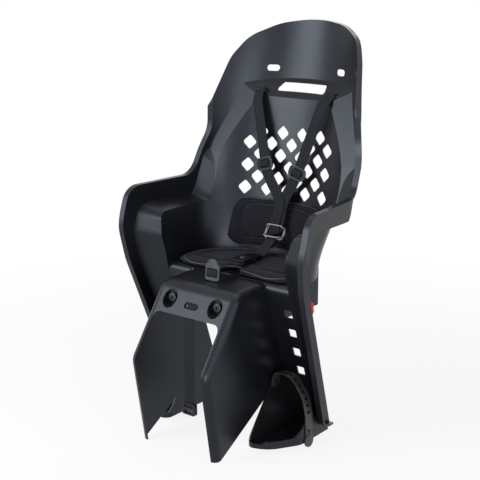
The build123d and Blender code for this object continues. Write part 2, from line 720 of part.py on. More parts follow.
# Clamp base: a tube that opens fore and aft, with an arm to the bolts in the saddle's front
base_top_z = seat_z - wall
flange_y = recess_y + recess_floor
with BuildPart() as clamp_base:
    with BuildSketch(Plane.XZ.offset(-base_rear_y)):
        with Locations((0, base_top_z / 2)):
            Rectangle(2 * base_half, base_top_z)
            Rectangle(2 * base_half - 2 * base_wall, base_top_z - 2 * base_wall, mode=Mode.SUBTRACT)
    extrude(amount=base_rear_y - base_front_y)
    with BuildSketch(Plane.YZ):
        with BuildLine():
            arm_y = flange_y + base_wall / 2
            FilletPolyline(
                (base_front_y + 20, base_top_z - base_wall / 2),
                (base_front_y, base_top_z - base_wall / 2 - 2),
                (seat_front_y, base_top_z - 9), (arm_y + 10, base_top_z - 12), (arm_y, base_top_z - 20),
                (arm_y, bolt_z - 15), radius=(8, 8, 5, 5))
        trace(line_width=base_wall)
    extrude(amount=bolt_x + 15, both=True)
    with Locations((0, crotch_slot_y, base_top_z - 12), (0, flange_y, bolt_z)):
        Box(webbing_w + 24, 34, 40, mode=Mode.SUBTRACT)
    with BuildSketch(Plane.XZ.offset(-flange_y)):
        with Locations((-bolt_x, bolt_z), (bolt_x, bolt_z)):
            Circle(bolt_d / 2 + hole_play)
    extrude(amount=-2 * base_wall, mode=Mode.SUBTRACT)
    with BuildSketch(Plane.YZ):
        with Locations((spindle_y, spindle_z)):
            Circle(spindle_d / 2 + hole_play)
    extrude(amount=2 * base_half, both=True, mode=Mode.SUBTRACT)
    leg_x = rail_x + rail_d / 2
    with BuildSketch(Plane.XY):
        for side in (1, -1):
            with Locations((side * (leg_x + (jaw_leg + jaw_travel) / 2), spindle_y)):
                Rectangle(jaw_leg + jaw_travel + 4 * gap, jaw_length + 4 * gap)
    extrude(amount=base_wall, mode=Mode.SUBTRACT)
    with BuildSketch(Plane.XY.offset(base_top_z)):
        with Locations((0, screw_middle_y)):
            with GridLocations(2 * screw_x, 2 * screw_y, 2, 2):
                Circle(screw_d / 2 + hole_play / 2)
    extrude(amount=-base_wall, mode=Mode.SUBTRACT)
clamp_base.part.label = "clamp_base"
export_step(clamp_base.part, "parts/clamp_base.step")

# Jaws that run on the spindle and hook round the rack's two rails
with BuildPart() as clamp_jaw_left:
    with BuildSketch(Plane.XZ.offset(-spindle_y)):
        with BuildLine():
            outer_x = leg_x + jaw_leg
            Polyline(
                (leg_x - jaw_nut, base_wall + gap), (leg_x - jaw_nut, spindle_z + jaw_height / 2),
                (outer_x, spindle_z + jaw_height / 2), (outer_x, -rail_d - 2), (rail_x, -rail_d - 2),
                (rail_x, -rail_d / 4), (leg_x, -rail_d / 4), (leg_x, base_wall + gap), close=True)
        make_face()
        with Locations((rail_x, -rail_d / 2)):
            Circle(rail_d / 2 + rail_play, mode=Mode.SUBTRACT)
    extrude(amount=jaw_length / 2, both=True)
    with BuildSketch(Plane.YZ):
        with Locations((spindle_y, spindle_z)):
            Circle(spindle_d / 2 + hole_play / 2)
    extrude(amount=2 * base_half, mode=Mode.SUBTRACT)
clamp_jaw_left.part.label = "clamp_jaw_left"
export_step(clamp_jaw_left.part, "parts/clamp_jaw_left.step")
with BuildPart() as clamp_jaw_right:
    mirror(clamp_jaw_left.part, about=Plane.YZ)
clamp_jaw_right.part.label = "clamp_jaw_right"
export_step(clamp_jaw_right.part, "parts/clamp_jaw_right.step")

# Spindle with its knob on the child's left and a clip on the right
with BuildPart() as clamp_spindle:
    with BuildSketch(Plane.YZ.offset(-base_half - 7)):
        with Locations((spindle_y, spindle_z)):
            Circle(spindle_d / 2)
    extrude(amount=base_half + 7 + knob_x + knob_length / 2)
    chamfer(clamp_spindle.edges(), length=0.8)
clamp_spindle.part.label = "clamp_spindle"
export_step(clamp_spindle.part, "parts/clamp_spindle.step")

with BuildPart() as clamp_knob:
    with BuildSketch(Plane.YZ.offset(knob_x)):
        with Locations((spindle_y, spindle_z)):
            Circle(knob_d / 2)
            with PolarLocations(knob_d / 2 + 3.5, knob_lobes):
                Circle(6.5, mode=Mode.SUBTRACT)
    extrude(amount=knob_length)
    fillet(clamp_knob.faces().sort_by(Axis.X)[-1].edges(), radius=1.5)
    with BuildSketch(Plane.YZ.offset(base_half + gap)):
        with Locations((spindle_y, spindle_z)):
            Circle(spindle_d)
    extrude(amount=knob_x - base_half - gap)
    with BuildSketch(Plane.YZ.offset(base_half)):
        with Locations((spindle_y, spindle_z)):
            Circle(spindle_d / 2 + 0.05)
    extrude(amount=knob_x - base_half + knob_length / 2 + gap, mode=Mode.SUBTRACT)
clamp_knob.part.label = "clamp_knob"
export_step(clamp_knob.part, "parts/clamp_knob.step")

with BuildPart() as spindle_clip:
    with BuildSketch(Plane.YZ.offset(-base_half - gap)):
        with Locations((spindle_y, spindle_z)):
            Circle(spindle_d)
            Circle(spindle_d / 2 + 0.05, mode=Mode.SUBTRACT)
    extrude(amount=-1.6)
spindle_clip.part.label = "spindle_clip"
export_step(spindle_clip.part, "parts/spindle_clip.step")

# Bolts and nuts through the saddle's front and the arm's flange
with BuildPart() as mount_bolts:
    with BuildSketch(Plane.XZ.offset(-recess_y)):
        with Locations((-bolt_x, bolt_z), (bolt_x, bolt_z)):
            Circle(bolt_head_d / 2)
    extrude(amount=bolt_head)
    fillet(mount_bolts.faces().sort_by(Axis.Y)[:2].edges(), radius=1.5)
    with BuildSketch(Plane.XZ.offset(-recess_y + bolt_head)):
        with Locations((-bolt_x, bolt_z), (bolt_x, bolt_z)):
            RegularPolygon(bolt_d * 0.36, 6)
    extrude(amount=-bolt_head * 0.6, mode=Mode.SUBTRACT)
    with BuildSketch(Plane.XZ.offset(-recess_y)):
        with Locations((-bolt_x, bolt_z), (bolt_x, bolt_z)):
            Circle(bolt_d / 2)
    extrude(amount=-recess_floor - base_wall - nut_height - 2)
mount_bolts.part.label = "mount_bolts"
export_step(mount_bolts.part, "parts/mount_bolts.step")

with BuildPart() as mount_nuts:
    with BuildSketch(Plane.XZ.offset(-flange_y - base_wall)):
        with Locations((-bolt_x, bolt_z), (bolt_x, bolt_z)):
            RegularPolygon(nut_flat / 2, 6, major_radius=False)
            Circle(bolt_d / 2 + 0.05, mode=Mode.SUBTRACT)
    extrude(amount=-nut_height)
mount_nuts.part.label = "mount_nuts"
export_step(mount_nuts.part, "parts/mount_nuts.step")

with BuildPart() as base_screws:
    with BuildSketch(Plane.XY.offset(base_top_z - base_wall)):
        with Locations((0, screw_middle_y)):
            with GridLocations(2 * screw_x, 2 * screw_y, 2, 2):
                Circle(screw_d)
    extrude(amount=-3)
    with BuildSketch(Plane.XY.offset(base_top_z - base_wall)):
        with Locations((0, screw_middle_y)):
            with GridLocations(2 * screw_x, 2 * screw_y, 2, 2):
                Circle(screw_d / 2)
    extrude(amount=base_wall + wall - hole_play)
base_screws.part.label = "base_screws"
export_step(base_screws.part, "parts/base_screws.step")

# Footrest cup that slides on the calf wall
calf_cut = ledge_fill(-gap)
with BuildPart() as footrest_left:
    with BuildSketch(Plane.XY.offset(sole_z)) as cup_plan:
        with BuildLine():
            FilletPolyline(
                (cup_inner_x, 40), (cup_inner_x, toe_y), (cup_inner_x + 48, toe_y + 16),
                (cup_outer_x, cheek_y), (cup_outer_x, 40), radius=(0, 16, 60, 40, 0), close=True)
        make_face()
    extrude(amount=cup_height)
    with BuildSketch(Plane.XY.offset(sole_z + sole_t)):
        add(cup_plan.face())
        offset(amount=-cup_wall)
    extrude(amount=cup_height, mode=Mode.SUBTRACT)
    middle_x = (cup_inner_x + cup_outer_x) / 2
    for run, heights in ((-1, cup_inner_edge), (1, cup_outer_edge)):
        with BuildSketch(Plane.YZ.offset(middle_x)):
            with BuildLine():
                edge = [(y, sole_z + lift) for y, lift in heights]
                Polyline(*edge, (edge[-1][0], 0), (edge[0][0], 0), close=True)
            make_face()
        extrude(amount=run * reach, mode=Mode.SUBTRACT)
    with BuildSketch(Plane.YZ.offset(cup_inner_x)):
        with BuildLine():
            top_z = sole_z + cup_height - 12
            Polyline(
                (calf_y(sole_z) + 20, sole_z), (calf_y(sole_z) - cup_back, sole_z),
                (calf_y(top_z) - cup_back, top_z), (calf_y(top_z) + 20, top_z), close=True)
        make_face()
    extrude(amount=tub_half - 6 - cup_inner_x)
    with Locations((middle_x, -90, sole_z + sole_t)):
        with GridLocations(1, 22, 1, 5):
            Box(46, 5, 2, align=(Align.CENTER, Align.CENTER, Align.MIN))
    add(calf_cut, mode=Mode.SUBTRACT)
    for wall_x, lift in ((cup_inner_x, peg_inner_lift), (cup_outer_x - cup_wall, peg_outer_lift)):
        with BuildSketch(Plane.YZ.offset(wall_x)):
            with Locations((foot_strap_y, sole_z + lift)):
                Circle(peg_d / 2)
        extrude(amount=cup_wall + foot_strap_t + 2 * gap + 2)
footrest_left.part.label = "footrest_left"
export_step(footrest_left.part, "parts/footrest_left.step")
with BuildPart() as footrest_right:
    mirror(footrest_left.part, about=Plane.YZ)
footrest_right.part.label = "footrest_right"
export_step(footrest_right.part, "parts/footrest_right.step")

# Rubber strap over the foot, with a row of holes and a round pull tab
strap_in_x = cup_inner_x + cup_wall + gap + foot_strap_t / 2
strap_out_x = cup_outer_x + gap + foot_strap_t / 2
with BuildPart() as foot_strap_left:
    with BuildSketch(Plane.XZ.offset(-foot_strap_y)):
        with BuildLine() as strap_line:
            FilletPolyline(
                (strap_in_x, sole_z + 98), (strap_in_x, sole_z + 130), (middle_x + 8, sole_z + 130),
                (cup_outer_x - 6, sole_z + 90), (strap_out_x, sole_z + 54), (strap_out_x, sole_z + 8),
                radius=(18, 36, 40, 30))
        trace(line_width=foot_strap_t)
    extrude(amount=foot_strap_w / 2, both=True)
    line = strap_line.wires()[0]
    for hole in range(strap_holes):
        share = strap_hole_first + strap_hole_step * hole
        spot = line.position_at(share)
        along = line.tangent_at(share)
        with BuildSketch(Plane(origin=(spot.X, foot_strap_y, spot.Y), x_dir=(0, 1, 0),
                               z_dir=(along.Y, 0, -along.X))):
            RectangleRounded(foot_strap_w / 2, 5, 1)
        extrude(amount=foot_strap_t, both=True, mode=Mode.SUBTRACT)
    with BuildSketch(Plane.YZ.offset(strap_out_x - foot_strap_t / 2)):
        with Locations((foot_strap_y, sole_z + 2)):
            Circle(foot_strap_w / 2 + 2)
    extrude(amount=foot_strap_t + 1.5)
    with BuildSketch(Plane.YZ):
        with Locations((foot_strap_y, sole_z + peg_outer_lift), (foot_strap_y, sole_z + peg_inner_lift)):
            Circle(peg_d / 2 + hole_play)
    extrude(amount=reach, mode=Mode.SUBTRACT)
foot_strap_left.part.label = "foot_strap_left"
export_step(foot_strap_left.part, "parts/foot_strap_left.step")
with BuildPart() as foot_strap_right:
    mirror(foot_strap_left.part, about=Plane.YZ)
foot_strap_right.part.label = "foot_strap_right"
export_step(foot_strap_right.part, "parts/foot_strap_right.step")
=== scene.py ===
"""Looks for a rack-mounted child bike seat: moulded shell, sewn pads, woven harness, clamp and footrests."""

import json
import logging
from dataclasses import dataclass, field
from enum import Enum
from math import cos, pi, radians, sin
from typing import Optional, Sequence, Union

import bpy
import numpy as np
from bpy.types import ID, Material, Mesh, Node, NodeSocket, Object, World
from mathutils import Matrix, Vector

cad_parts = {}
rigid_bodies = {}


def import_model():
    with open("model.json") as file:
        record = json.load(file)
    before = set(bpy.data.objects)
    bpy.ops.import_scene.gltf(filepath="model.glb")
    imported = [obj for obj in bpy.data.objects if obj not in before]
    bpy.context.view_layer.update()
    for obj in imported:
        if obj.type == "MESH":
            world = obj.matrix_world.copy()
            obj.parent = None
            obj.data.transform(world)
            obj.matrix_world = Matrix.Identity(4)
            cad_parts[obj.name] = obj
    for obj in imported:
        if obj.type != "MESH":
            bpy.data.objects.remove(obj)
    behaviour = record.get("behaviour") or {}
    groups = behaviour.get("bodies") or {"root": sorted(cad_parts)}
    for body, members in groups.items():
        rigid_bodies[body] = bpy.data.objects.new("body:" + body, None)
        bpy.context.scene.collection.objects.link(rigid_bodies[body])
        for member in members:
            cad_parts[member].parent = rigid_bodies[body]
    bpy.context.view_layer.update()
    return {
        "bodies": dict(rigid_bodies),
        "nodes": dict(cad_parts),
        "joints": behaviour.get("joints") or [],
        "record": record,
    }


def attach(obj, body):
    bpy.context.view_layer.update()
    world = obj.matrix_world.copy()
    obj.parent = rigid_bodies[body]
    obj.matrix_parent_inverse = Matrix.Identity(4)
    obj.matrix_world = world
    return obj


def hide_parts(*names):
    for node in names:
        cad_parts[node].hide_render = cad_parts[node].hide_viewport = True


LOG = logging.getLogger("child_seat")
MM = 0.001
TURN = 2 * pi
X_AXIS, Y_AXIS, Z_AXIS = np.eye(3)
WHITE = (1.0, 1.0, 1.0)
SEAT_BODY = "seat"
UV_NAME = "tape"
BEND_SAMPLES = 9
SAME_POINT = 1e-4
TAPE_SAMPLES = 28
TAPE_POWERS = (0.35, 0.6)
CORD_SAMPLES = 10

Array = np.ndarray
Pair = tuple[float, float]
Triple = tuple[float, float, float]
Number = Union["Signal", float]
Value = Union["Signal", float, tuple[float, ...]]


class Side(Enum):
    """The child's left and right."""

    LEFT = 1
    RIGHT = -1


class Slot(Enum):
    """The record's material slots that the added pieces use."""

    WEBBING = "webbing"
    PAD = "pad_fabric"
    BLACK = "black_plastic"
    GREY = "buckle_plastic"


class Signal:
    """A shader socket that takes part in Python arithmetic."""

    def __init__(self, graph: "Graph", socket: NodeSocket) -> None:
        """Keep the socket and the graph that it belongs to."""
        self.graph = graph
        self.socket = socket

    def math(self, operation: str, *others: Number) -> "Signal":
        """Result of a Math node on this signal and the operands after it."""
        return self.graph.node("ShaderNodeMath", {"operation": operation}, dict(enumerate((self, *others))))

    def __add__(self, other: Number) -> "Signal":
        """Sum."""
        return self.math("ADD", other)

    def __mul__(self, other: Number) -> "Signal":
        """Product."""
        return self.math("MULTIPLY", other)

    def __sub__(self, other: Number) -> "Signal":
        """Difference."""
        return self.math("SUBTRACT", other)

    def __rsub__(self, other: float) -> "Signal":
        """Number less this signal."""
        return (self * -1.0) + other

    __radd__ = __add__
    __rmul__ = __mul__

    def wave(self) -> "Signal":
        """Sine of this signal, lifted into the range 0 to 1."""
        return self.math("SINE") * 0.5 + 0.5

    def step(self, low: float, high: float) -> "Signal":
        """Smooth step from 0 at low to 1 at high."""
        ends = {"Value": self, "From Min": low, "From Max": high}
        return self.graph.node("ShaderNodeMapRange", {"interpolation_type": "SMOOTHSTEP"}, ends)


class Graph:
    """A node tree of a material or a world, with its surface shader."""

    def __init__(self, owner: Union[Material, World], shader: str, output: str) -> None:
        """Start a tree that holds one shader and the output that it feeds.

        Args:
            owner: the material or the world.
            shader: the surface shader's node type.
            output: the output's node type.
        """
        owner.use_nodes = True
        self.owner = owner
        self.tree = owner.node_tree
        self.tree.nodes.clear()
        self.shader = self.add(shader)
        self.output = self.add(output, inputs={"Surface": Signal(self, self.shader.outputs[0])})

    @classmethod
    def material(cls, name: str) -> "Graph":
        """Graph of a new material with a Principled shader."""
        return cls(bpy.data.materials.new(name), "ShaderNodeBsdfPrincipled", "ShaderNodeOutputMaterial")

    @classmethod
    def world(cls, name: str) -> "Graph":
        """Graph of a new world with one background."""
        return cls(bpy.data.worlds.new(name), "ShaderNodeBackground", "ShaderNodeOutputWorld")

    def feed(self, socket: NodeSocket, value: Value) -> None:
        """Link a signal to a socket, or set the socket to a plain value.

        Args:
            socket: the input.
            value: a signal, a number or a tuple. A colour of three parts gets an alpha of one.
        """
        if isinstance(value, Signal):
            self.tree.links.new(value.socket, socket)
        elif socket.type == "RGBA" and len(value) == 3:
            socket.default_value = (*value, 1.0)
        else:
            socket.default_value = value

    def add(self, kind: str, settings: Optional[dict] = None,
            inputs: Optional[dict] = None) -> Node:
        """Add any node.

        Args:
            kind: the node's type.
            settings: its properties, which are set first.
            inputs: values or signals by socket name or number.

        Returns:
            The node.
        """
        made = self.tree.nodes.new(kind)
        for key, value in (settings or {}).items():
            setattr(made, key, value)
        for key, value in (inputs or {}).items():
            self.feed(made.inputs[key], value)
        return made

    def node(self, kind: str, settings: Optional[dict] = None, inputs: Optional[dict] = None,
             output: Union[int, str] = 0) -> Signal:
        """One output of a new node, as a signal."""
        return Signal(self, self.add(kind, settings, inputs).outputs[output])

    def place(self) -> Signal:
        """Object coordinates in metres."""
        return self.node("ShaderNodeTexCoord", output="Object")

    def tape(self) -> tuple[Signal, Signal]:
        """Places across and along a tape, in millimetres, from its UV map.

        Returns:
            The place across and the place along.
        """
        uv = self.node("ShaderNodeUVMap", {"uv_map": UV_NAME})
        parts = self.add("ShaderNodeSeparateXYZ", inputs={0: uv}).outputs
        return Signal(self, parts["X"]), Signal(self, parts["Y"])

    def blend(self, share: Number, low: Triple, high: Triple) -> Signal:
        """Colour between low and high."""
        return self.node("ShaderNodeMix", {"data_type": "RGBA"}, {0: share, 6: low, 7: high}, output=2)

    def bump(self, height: Number, depth: float, strength: float) -> None:
        """Feed the shader's Normal from a height of 0 to 1, its depth in metres and the share that shows."""
        relief = {"Strength": strength, "Distance": depth, "Height": height}
        self.set(Normal=self.node("ShaderNodeBump", None, relief))

    def set(self, **values: Value) -> None:
        """Set the shader's sockets, with underscores for the spaces in their names."""
        for key, value in values.items():
            self.feed(self.shader.inputs[key.replace("_", " ")], value)


def shade(colour: Triple, gain: float, lift: float = 0.0) -> Triple:
    """Colour times a gain, plus a lift."""
    return tuple(part * gain + lift for part in colour)


@dataclass(frozen=True)
class Layer:
    """A pattern, and how much of it goes into a finish's tone, roughness and relief."""

    tone: float = 0.0
    rough: float = 0.0
    relief: float = 0.0

    def draw(self, graph: Graph) -> Signal:
        """The pattern in a finish's graph, in the range 0 to 1."""
        raise NotImplementedError


@dataclass(frozen=True)
class Noise(Layer):
    """Soft noise in stretched object coordinates, with a smooth step through it where it has an edge."""

    scale: float = 1.0
    detail: float = 2.0
    edge: Optional[Pair] = None
    stretch: Triple = (1.0, 1.0, 1.0)

    def draw(self, graph: Graph) -> Signal:
        """The noise, or the step through it.

        Args:
            graph: the finish's graph.

        Returns:
            The pattern.
        """
        axes = {0: graph.place(), 1: self.stretch}
        where = graph.node("ShaderNodeVectorMath", {"operation": "MULTIPLY"}, axes)
        inputs = {"Vector": where, "Scale": self.scale, "Detail": self.detail}
        noise = graph.node("ShaderNodeTexNoise", None, inputs)
        return noise.step(*self.edge) if self.edge else noise


@dataclass(frozen=True)
class Knit(Layer):
    """Rounded cells of a fine knit."""

    scale: float = 620.0

    def draw(self, graph: Graph) -> Signal:
        """Distance from the middle of the nearest cell."""
        inputs = {"Vector": graph.place(), "Scale": self.scale}
        return graph.node("ShaderNodeTexVoronoi", {"feature": "SMOOTH_F1"}, inputs)


@dataclass(frozen=True)
class Weave(Layer):
    """Ribs across a tape, a twill between them and a tight selvedge, by their pitch in millimetres."""

    width: float = 25.0
    rib: float = 1.35
    twill: float = 0.9
    selvedge: float = 0.8
    selvedge_edge: Pair = (2.6, 1.6)
    rib_share: float = 0.6
    twill_share: float = 0.4

    def draw(self, graph: Graph) -> Signal:
        """Sine waves along the tape and aslant, and a finer one in the selvedge.

        Args:
            graph: the finish's graph.

        Returns:
            The pattern.
        """
        across, along = graph.tape()
        edge = across.math("ABSOLUTE").step(*(self.width / 2 - inset for inset in self.selvedge_edge))
        ribs = (along * (TURN / self.rib)).wave()
        twill = ((across + along) * (TURN / self.twill)).wave()
        selvedge = (along * (TURN / self.selvedge)).wave()
        return (ribs * self.rib_share + twill * self.twill_share) * (1.0 - edge) + selvedge * edge


@dataclass(frozen=True)
class Twist(Layer):
    """Strands of a twisted cord, by the twist in radians for each millimetre."""

    turn: float = 5.2

    def draw(self, graph: Graph) -> Signal:
        """Sine wave aslant along the cord."""
        across, along = graph.tape()
        return ((across + along) * self.turn).wave()


@dataclass(frozen=True)
class Finish:
    """A procedural material, whose layers mix two colours and add to its roughness and relief."""

    name: str
    deep: Triple
    pale: Triple
    layers: tuple[Layer, ...]
    roughness: float
    depth: float
    strength: float
    shine: float = 0.5
    tint: Triple = WHITE
    sheen: float = 0.0
    sheen_rough: float = 0.5
    sheen_tint: Triple = WHITE
    metallic: float = 0.0

    @classmethod
    def moulded(cls, name: str, colour: Triple, roughness: float, grain: float = 900.0,
                depth: float = 0.00012, strength: float = 0.25) -> "Finish":
        """Moulded plastic with a fine spark-eroded grain, a cloudy tone and faint handling marks."""
        return cls(
            name, shade(colour, 0.82), shade(colour, 1.45, 0.003),
            (Noise(rough=0.08, relief=1.0, scale=grain),
             Noise(rough=0.12, scale=7.0, detail=4.0),
             Noise(tone=0.7, scale=7.0, detail=4.0, edge=(0.3, 0.75)),
             Noise(tone=0.3, rough=-0.06, scale=6.0, detail=5.0, edge=(0.62, 0.8),
                   stretch=(60.0, 60.0, 9.0))),
            roughness, depth, strength, shine=0.32, tint=(0.75, 0.84, 1.0))

    @classmethod
    def gloss(cls, name: str, colour: Triple, roughness: float, shine: float = 0.5) -> "Finish":
        """Polished plastic of buckles, with faint swirls."""
        return cls(
            name, shade(colour, 0.85), shade(colour, 1.2, 0.002),
            (Noise(tone=1.0, rough=0.16, scale=60.0, detail=4.0),
             Noise(rough=0.06, relief=1.0, scale=1400.0)),
            roughness, depth=0.00004, strength=0.2, shine=shine, tint=(0.82, 0.9, 1.0))

    @classmethod
    def rubber(cls, name: str, colour: Triple) -> "Finish":
        """Matt rubber with a dusty bloom."""
        return cls(
            name, colour, shade(colour, 1.0, 0.016),
            (Noise(rough=0.2, scale=45.0, detail=5.0),
             Noise(tone=1.0, scale=45.0, detail=5.0, edge=(0.35, 0.75)),
             Noise(relief=1.0, scale=1600.0)),
            roughness=0.34, depth=0.00008, strength=0.3)

    @classmethod
    def steel(cls, name: str, colour: Triple, roughness: float) -> "Finish":
        """Plated steel with fine brushing along X."""
        return cls(
            name, shade(colour, 0.8), colour,
            (Noise(rough=0.16, relief=1.0, detail=3.0, stretch=(40.0, 900.0, 900.0)),
             Noise(tone=1.0, rough=0.12, scale=35.0, detail=4.0)),
            roughness, depth=0.00005, strength=0.25, metallic=1.0)

    @classmethod
    def cloth(cls, name: str, colour: Triple, nap: Triple) -> "Finish":
        """Brushed knit of the pads: a short nap over a fine knit, lighter where the nap is stroked."""
        return cls(
            name, colour, nap,
            (Noise(tone=0.35, scale=26.0, detail=5.0, edge=(0.35, 0.7)),
             Noise(tone=0.45, scale=240.0, detail=4.0, edge=(0.36, 0.64)),
             Noise(tone=0.2, rough=0.12, relief=0.4, scale=1900.0, detail=3.0),
             Knit(relief=0.6)),
            roughness=0.82, depth=0.0003, strength=0.6, shine=0.2, tint=(0.8, 0.82, 1.0),
            sheen=0.06, sheen_rough=0.45, sheen_tint=(0.7, 0.71, 0.86))

    @classmethod
    def tape(cls, name: str, colour: Triple) -> "Finish":
        """Woven harness webbing, paler where it is worn."""
        return cls(
            name, colour, shade(colour, 3.6),
            (Weave(tone=0.4, rough=-0.12, relief=1.0),
             Noise(tone=0.2, rough=0.15, scale=60.0, detail=4.0),
             Noise(tone=0.35, scale=420.0, edge=(0.35, 0.65))),
            roughness=0.66, depth=0.00035, strength=0.7, shine=0.2, tint=(0.8, 0.88, 1.0),
            sheen=0.03, sheen_tint=(0.8, 0.88, 1.0))

    @classmethod
    def thread(cls, name: str, colour: Triple) -> "Finish":
        """Twisted sewing thread or piping cord."""
        return cls(
            name, colour, shade(colour, 1.9),
            (Twist(tone=0.6, relief=1.0), Noise(tone=0.4, rough=0.15, scale=90.0, detail=4.0)),
            roughness=0.62, depth=0.0002, strength=0.5, sheen=0.08)

    def make(self) -> Material:
        """Build the material: each layer's pattern times its weight, summed for tone, roughness and relief.

        Returns:
            The material.
        """
        graph = Graph.material(self.name)
        drawn = [(layer, layer.draw(graph)) for layer in self.layers]
        tone = sum((signal * layer.tone for layer, signal in drawn if layer.tone), 0.0)
        rough = sum((signal * layer.rough for layer, signal in drawn if layer.rough), self.roughness)
        relief = sum((signal * layer.relief for layer, signal in drawn if layer.relief), 0.0)
        graph.set(
            Base_Color=graph.blend(tone, self.deep, self.pale), Roughness=rough, Metallic=self.metallic,
            Specular_IOR_Level=self.shine, Specular_Tint=self.tint, Sheen_Weight=self.sheen,
            Sheen_Roughness=self.sheen_rough, Sheen_Tint=self.sheen_tint)
        graph.bump(relief, self.depth, self.strength)
        return graph.owner


def unit(vector: Array) -> Array:
    """Vector, or rows of vectors, at length one."""
    return vector / np.linalg.norm(vector, axis=-1, keepdims=True)


def lay(flat: Array, origin: Array, first: Array, second: Array) -> Array:
    """Flat samples laid out in space: the origin plus each column times its own direction."""
    return origin + flat[:, :1] * first + flat[:, 1:] * second


def arc_length(path: Array) -> Array:
    """Length along a path up to each sample: the running sum of the distances between samples."""
    return np.concatenate(([0.0], np.cumsum(np.linalg.norm(np.diff(path, axis=0), axis=1))))


def rounded_path(points: Sequence[Sequence[float]], cuts: Sequence[float], step: float = 1.5) -> Array:
    """Path of straight runs whose corners are parabolas.

    A corner leaves its run a given cut before the corner point and meets the next run as far after it.
    Between them it is the quadratic Bezier curve whose middle control point is the corner itself.

    Args:
        points: corner points, the two ends included.
        cuts: how far from each inner corner its curve starts.
        step: rough distance between samples.

    Returns:
        Samples along the path, one row each.
    """
    rows = np.asarray(points, float)
    ways = unit(np.diff(rows, axis=0))
    cut = np.asarray(cuts, float)[:, None]
    enter, leave = rows[1:-1] - ways[:-1] * cut, rows[1:-1] + ways[1:] * cut
    share = np.linspace(0.0, 1.0, BEND_SAMPLES)[None, :, None]
    bends = ((1 - share) ** 2 * enter[:, None] + 2 * share * (1 - share) * rows[1:-1, None]
             + share ** 2 * leave[:, None])
    starts = np.vstack((rows[:1], leave))
    ends = np.vstack((enter, rows[-1:]))
    pieces = []
    for index, (start, end) in enumerate(zip(starts, ends)):
        count = max(2, int(np.linalg.norm(end - start) / step))
        pieces.append(start + (end - start) * np.linspace(0.0, 1.0, count)[:, None])
        if index < len(bends):
            pieces.append(bends[index])
    path = np.vstack(pieces)
    keep = np.linalg.norm(np.diff(path, axis=0), axis=1) > SAME_POINT
    return path[np.concatenate(([True], keep))]


def rounded_loop(corners: Sequence[Sequence[float]], cut: float, step: float = 2.0) -> Array:
    """Closed flat outline with parabola corners, which starts halfway between its last and first corner.

    Args:
        corners: corner points in order.
        cut: how far from a corner its curve starts.
        step: rough distance between samples.

    Returns:
        Samples round the outline.
    """
    rows = np.asarray(corners, float)
    middle = (rows[0] + rows[-1]) / 2
    return rounded_path([middle, *rows, middle], [cut] * len(rows), step)[:-1]


def rounded_box(half: float, low: float, high: float, cut: float, step: float = 2.0) -> Array:
    """Closed rectangle with parabola corners, from half its width and its lower and upper edge."""
    return rounded_loop([(half, low), (half, high), (-half, high), (-half, low)], cut, step)


def mesh_from_grid(name: str, grid: Array, uv: Array, closed: bool) -> Object:
    """Mesh object of a closed section that is carried along a path.

    Args:
        name: the object's name.
        grid: points in millimetres, rows along the path and columns round the section.
        uv: UV in the same layout, in millimetres.
        closed: whether the last row joins the first. If not, one face caps each end.

    Returns:
        The object, at the origin, with its faces outwards and its UV map.
    """
    rows, columns = grid.shape[:2]
    index = np.arange(rows * columns).reshape(rows, columns)
    after = np.roll(index, -1, axis=0)
    quads = np.stack((index, np.roll(index, -1, axis=1), np.roll(after, -1, axis=1), after), axis=-1)
    faces = (quads if closed else quads[:-1]).reshape(-1, 4).tolist()
    if not closed:
        faces += [index[0, ::-1].tolist(), index[-1].tolist()]
    mesh = bpy.data.meshes.new(name)
    mesh.from_pydata((grid.reshape(-1, 3) * MM).tolist(), [], faces)
    corner = np.zeros(len(mesh.loops), np.int32)
    mesh.loops.foreach_get("vertex_index", corner)
    layer = mesh.uv_layers.new(name=UV_NAME)
    layer.data.foreach_set("uv", uv.reshape(-1, 2)[corner].astype(np.float32).ravel())
    smooth(mesh)
    face_outwards(mesh)
    made = bpy.data.objects.new(name, mesh)
    bpy.context.collection.objects.link(made)
    return made


def smooth(mesh: Mesh) -> None:
    """Shade all of a mesh's faces smoothly."""
    mesh.polygons.foreach_set("use_smooth", np.ones(len(mesh.polygons), bool))
    mesh.update()


def vectors(values: bpy.types.bpy_prop_collection, key: str) -> Array:
    """Vectors of a mesh's vertices or normals.

    Args:
        values: the mesh's collection.
        key: the vector's name in it.

    Returns:
        One row for each member.
    """
    flat = np.zeros(len(values) * 3, np.float32)
    values.foreach_get(key, flat)
    return flat.reshape(-1, 3).astype(float)


def face_outwards(mesh: Mesh) -> None:
    """Turn a closed mesh's faces outwards when their signed volume says that they point in.

    The volume is a sixth of the sum, over all triangles, of the first corner dotted with the cross product
    of the other two.

    Args:
        mesh: the mesh.
    """
    mesh.calc_loop_triangles()
    corners = np.zeros(len(mesh.loop_triangles) * 3, np.int32)
    mesh.loop_triangles.foreach_get("vertices", corners)
    a, b, c = vectors(mesh.vertices, "co")[corners.reshape(-1, 3)].transpose(1, 0, 2)
    if np.einsum("ij,ij->i", a, np.cross(b, c)).sum() < 0:
        mesh.flip_normals()


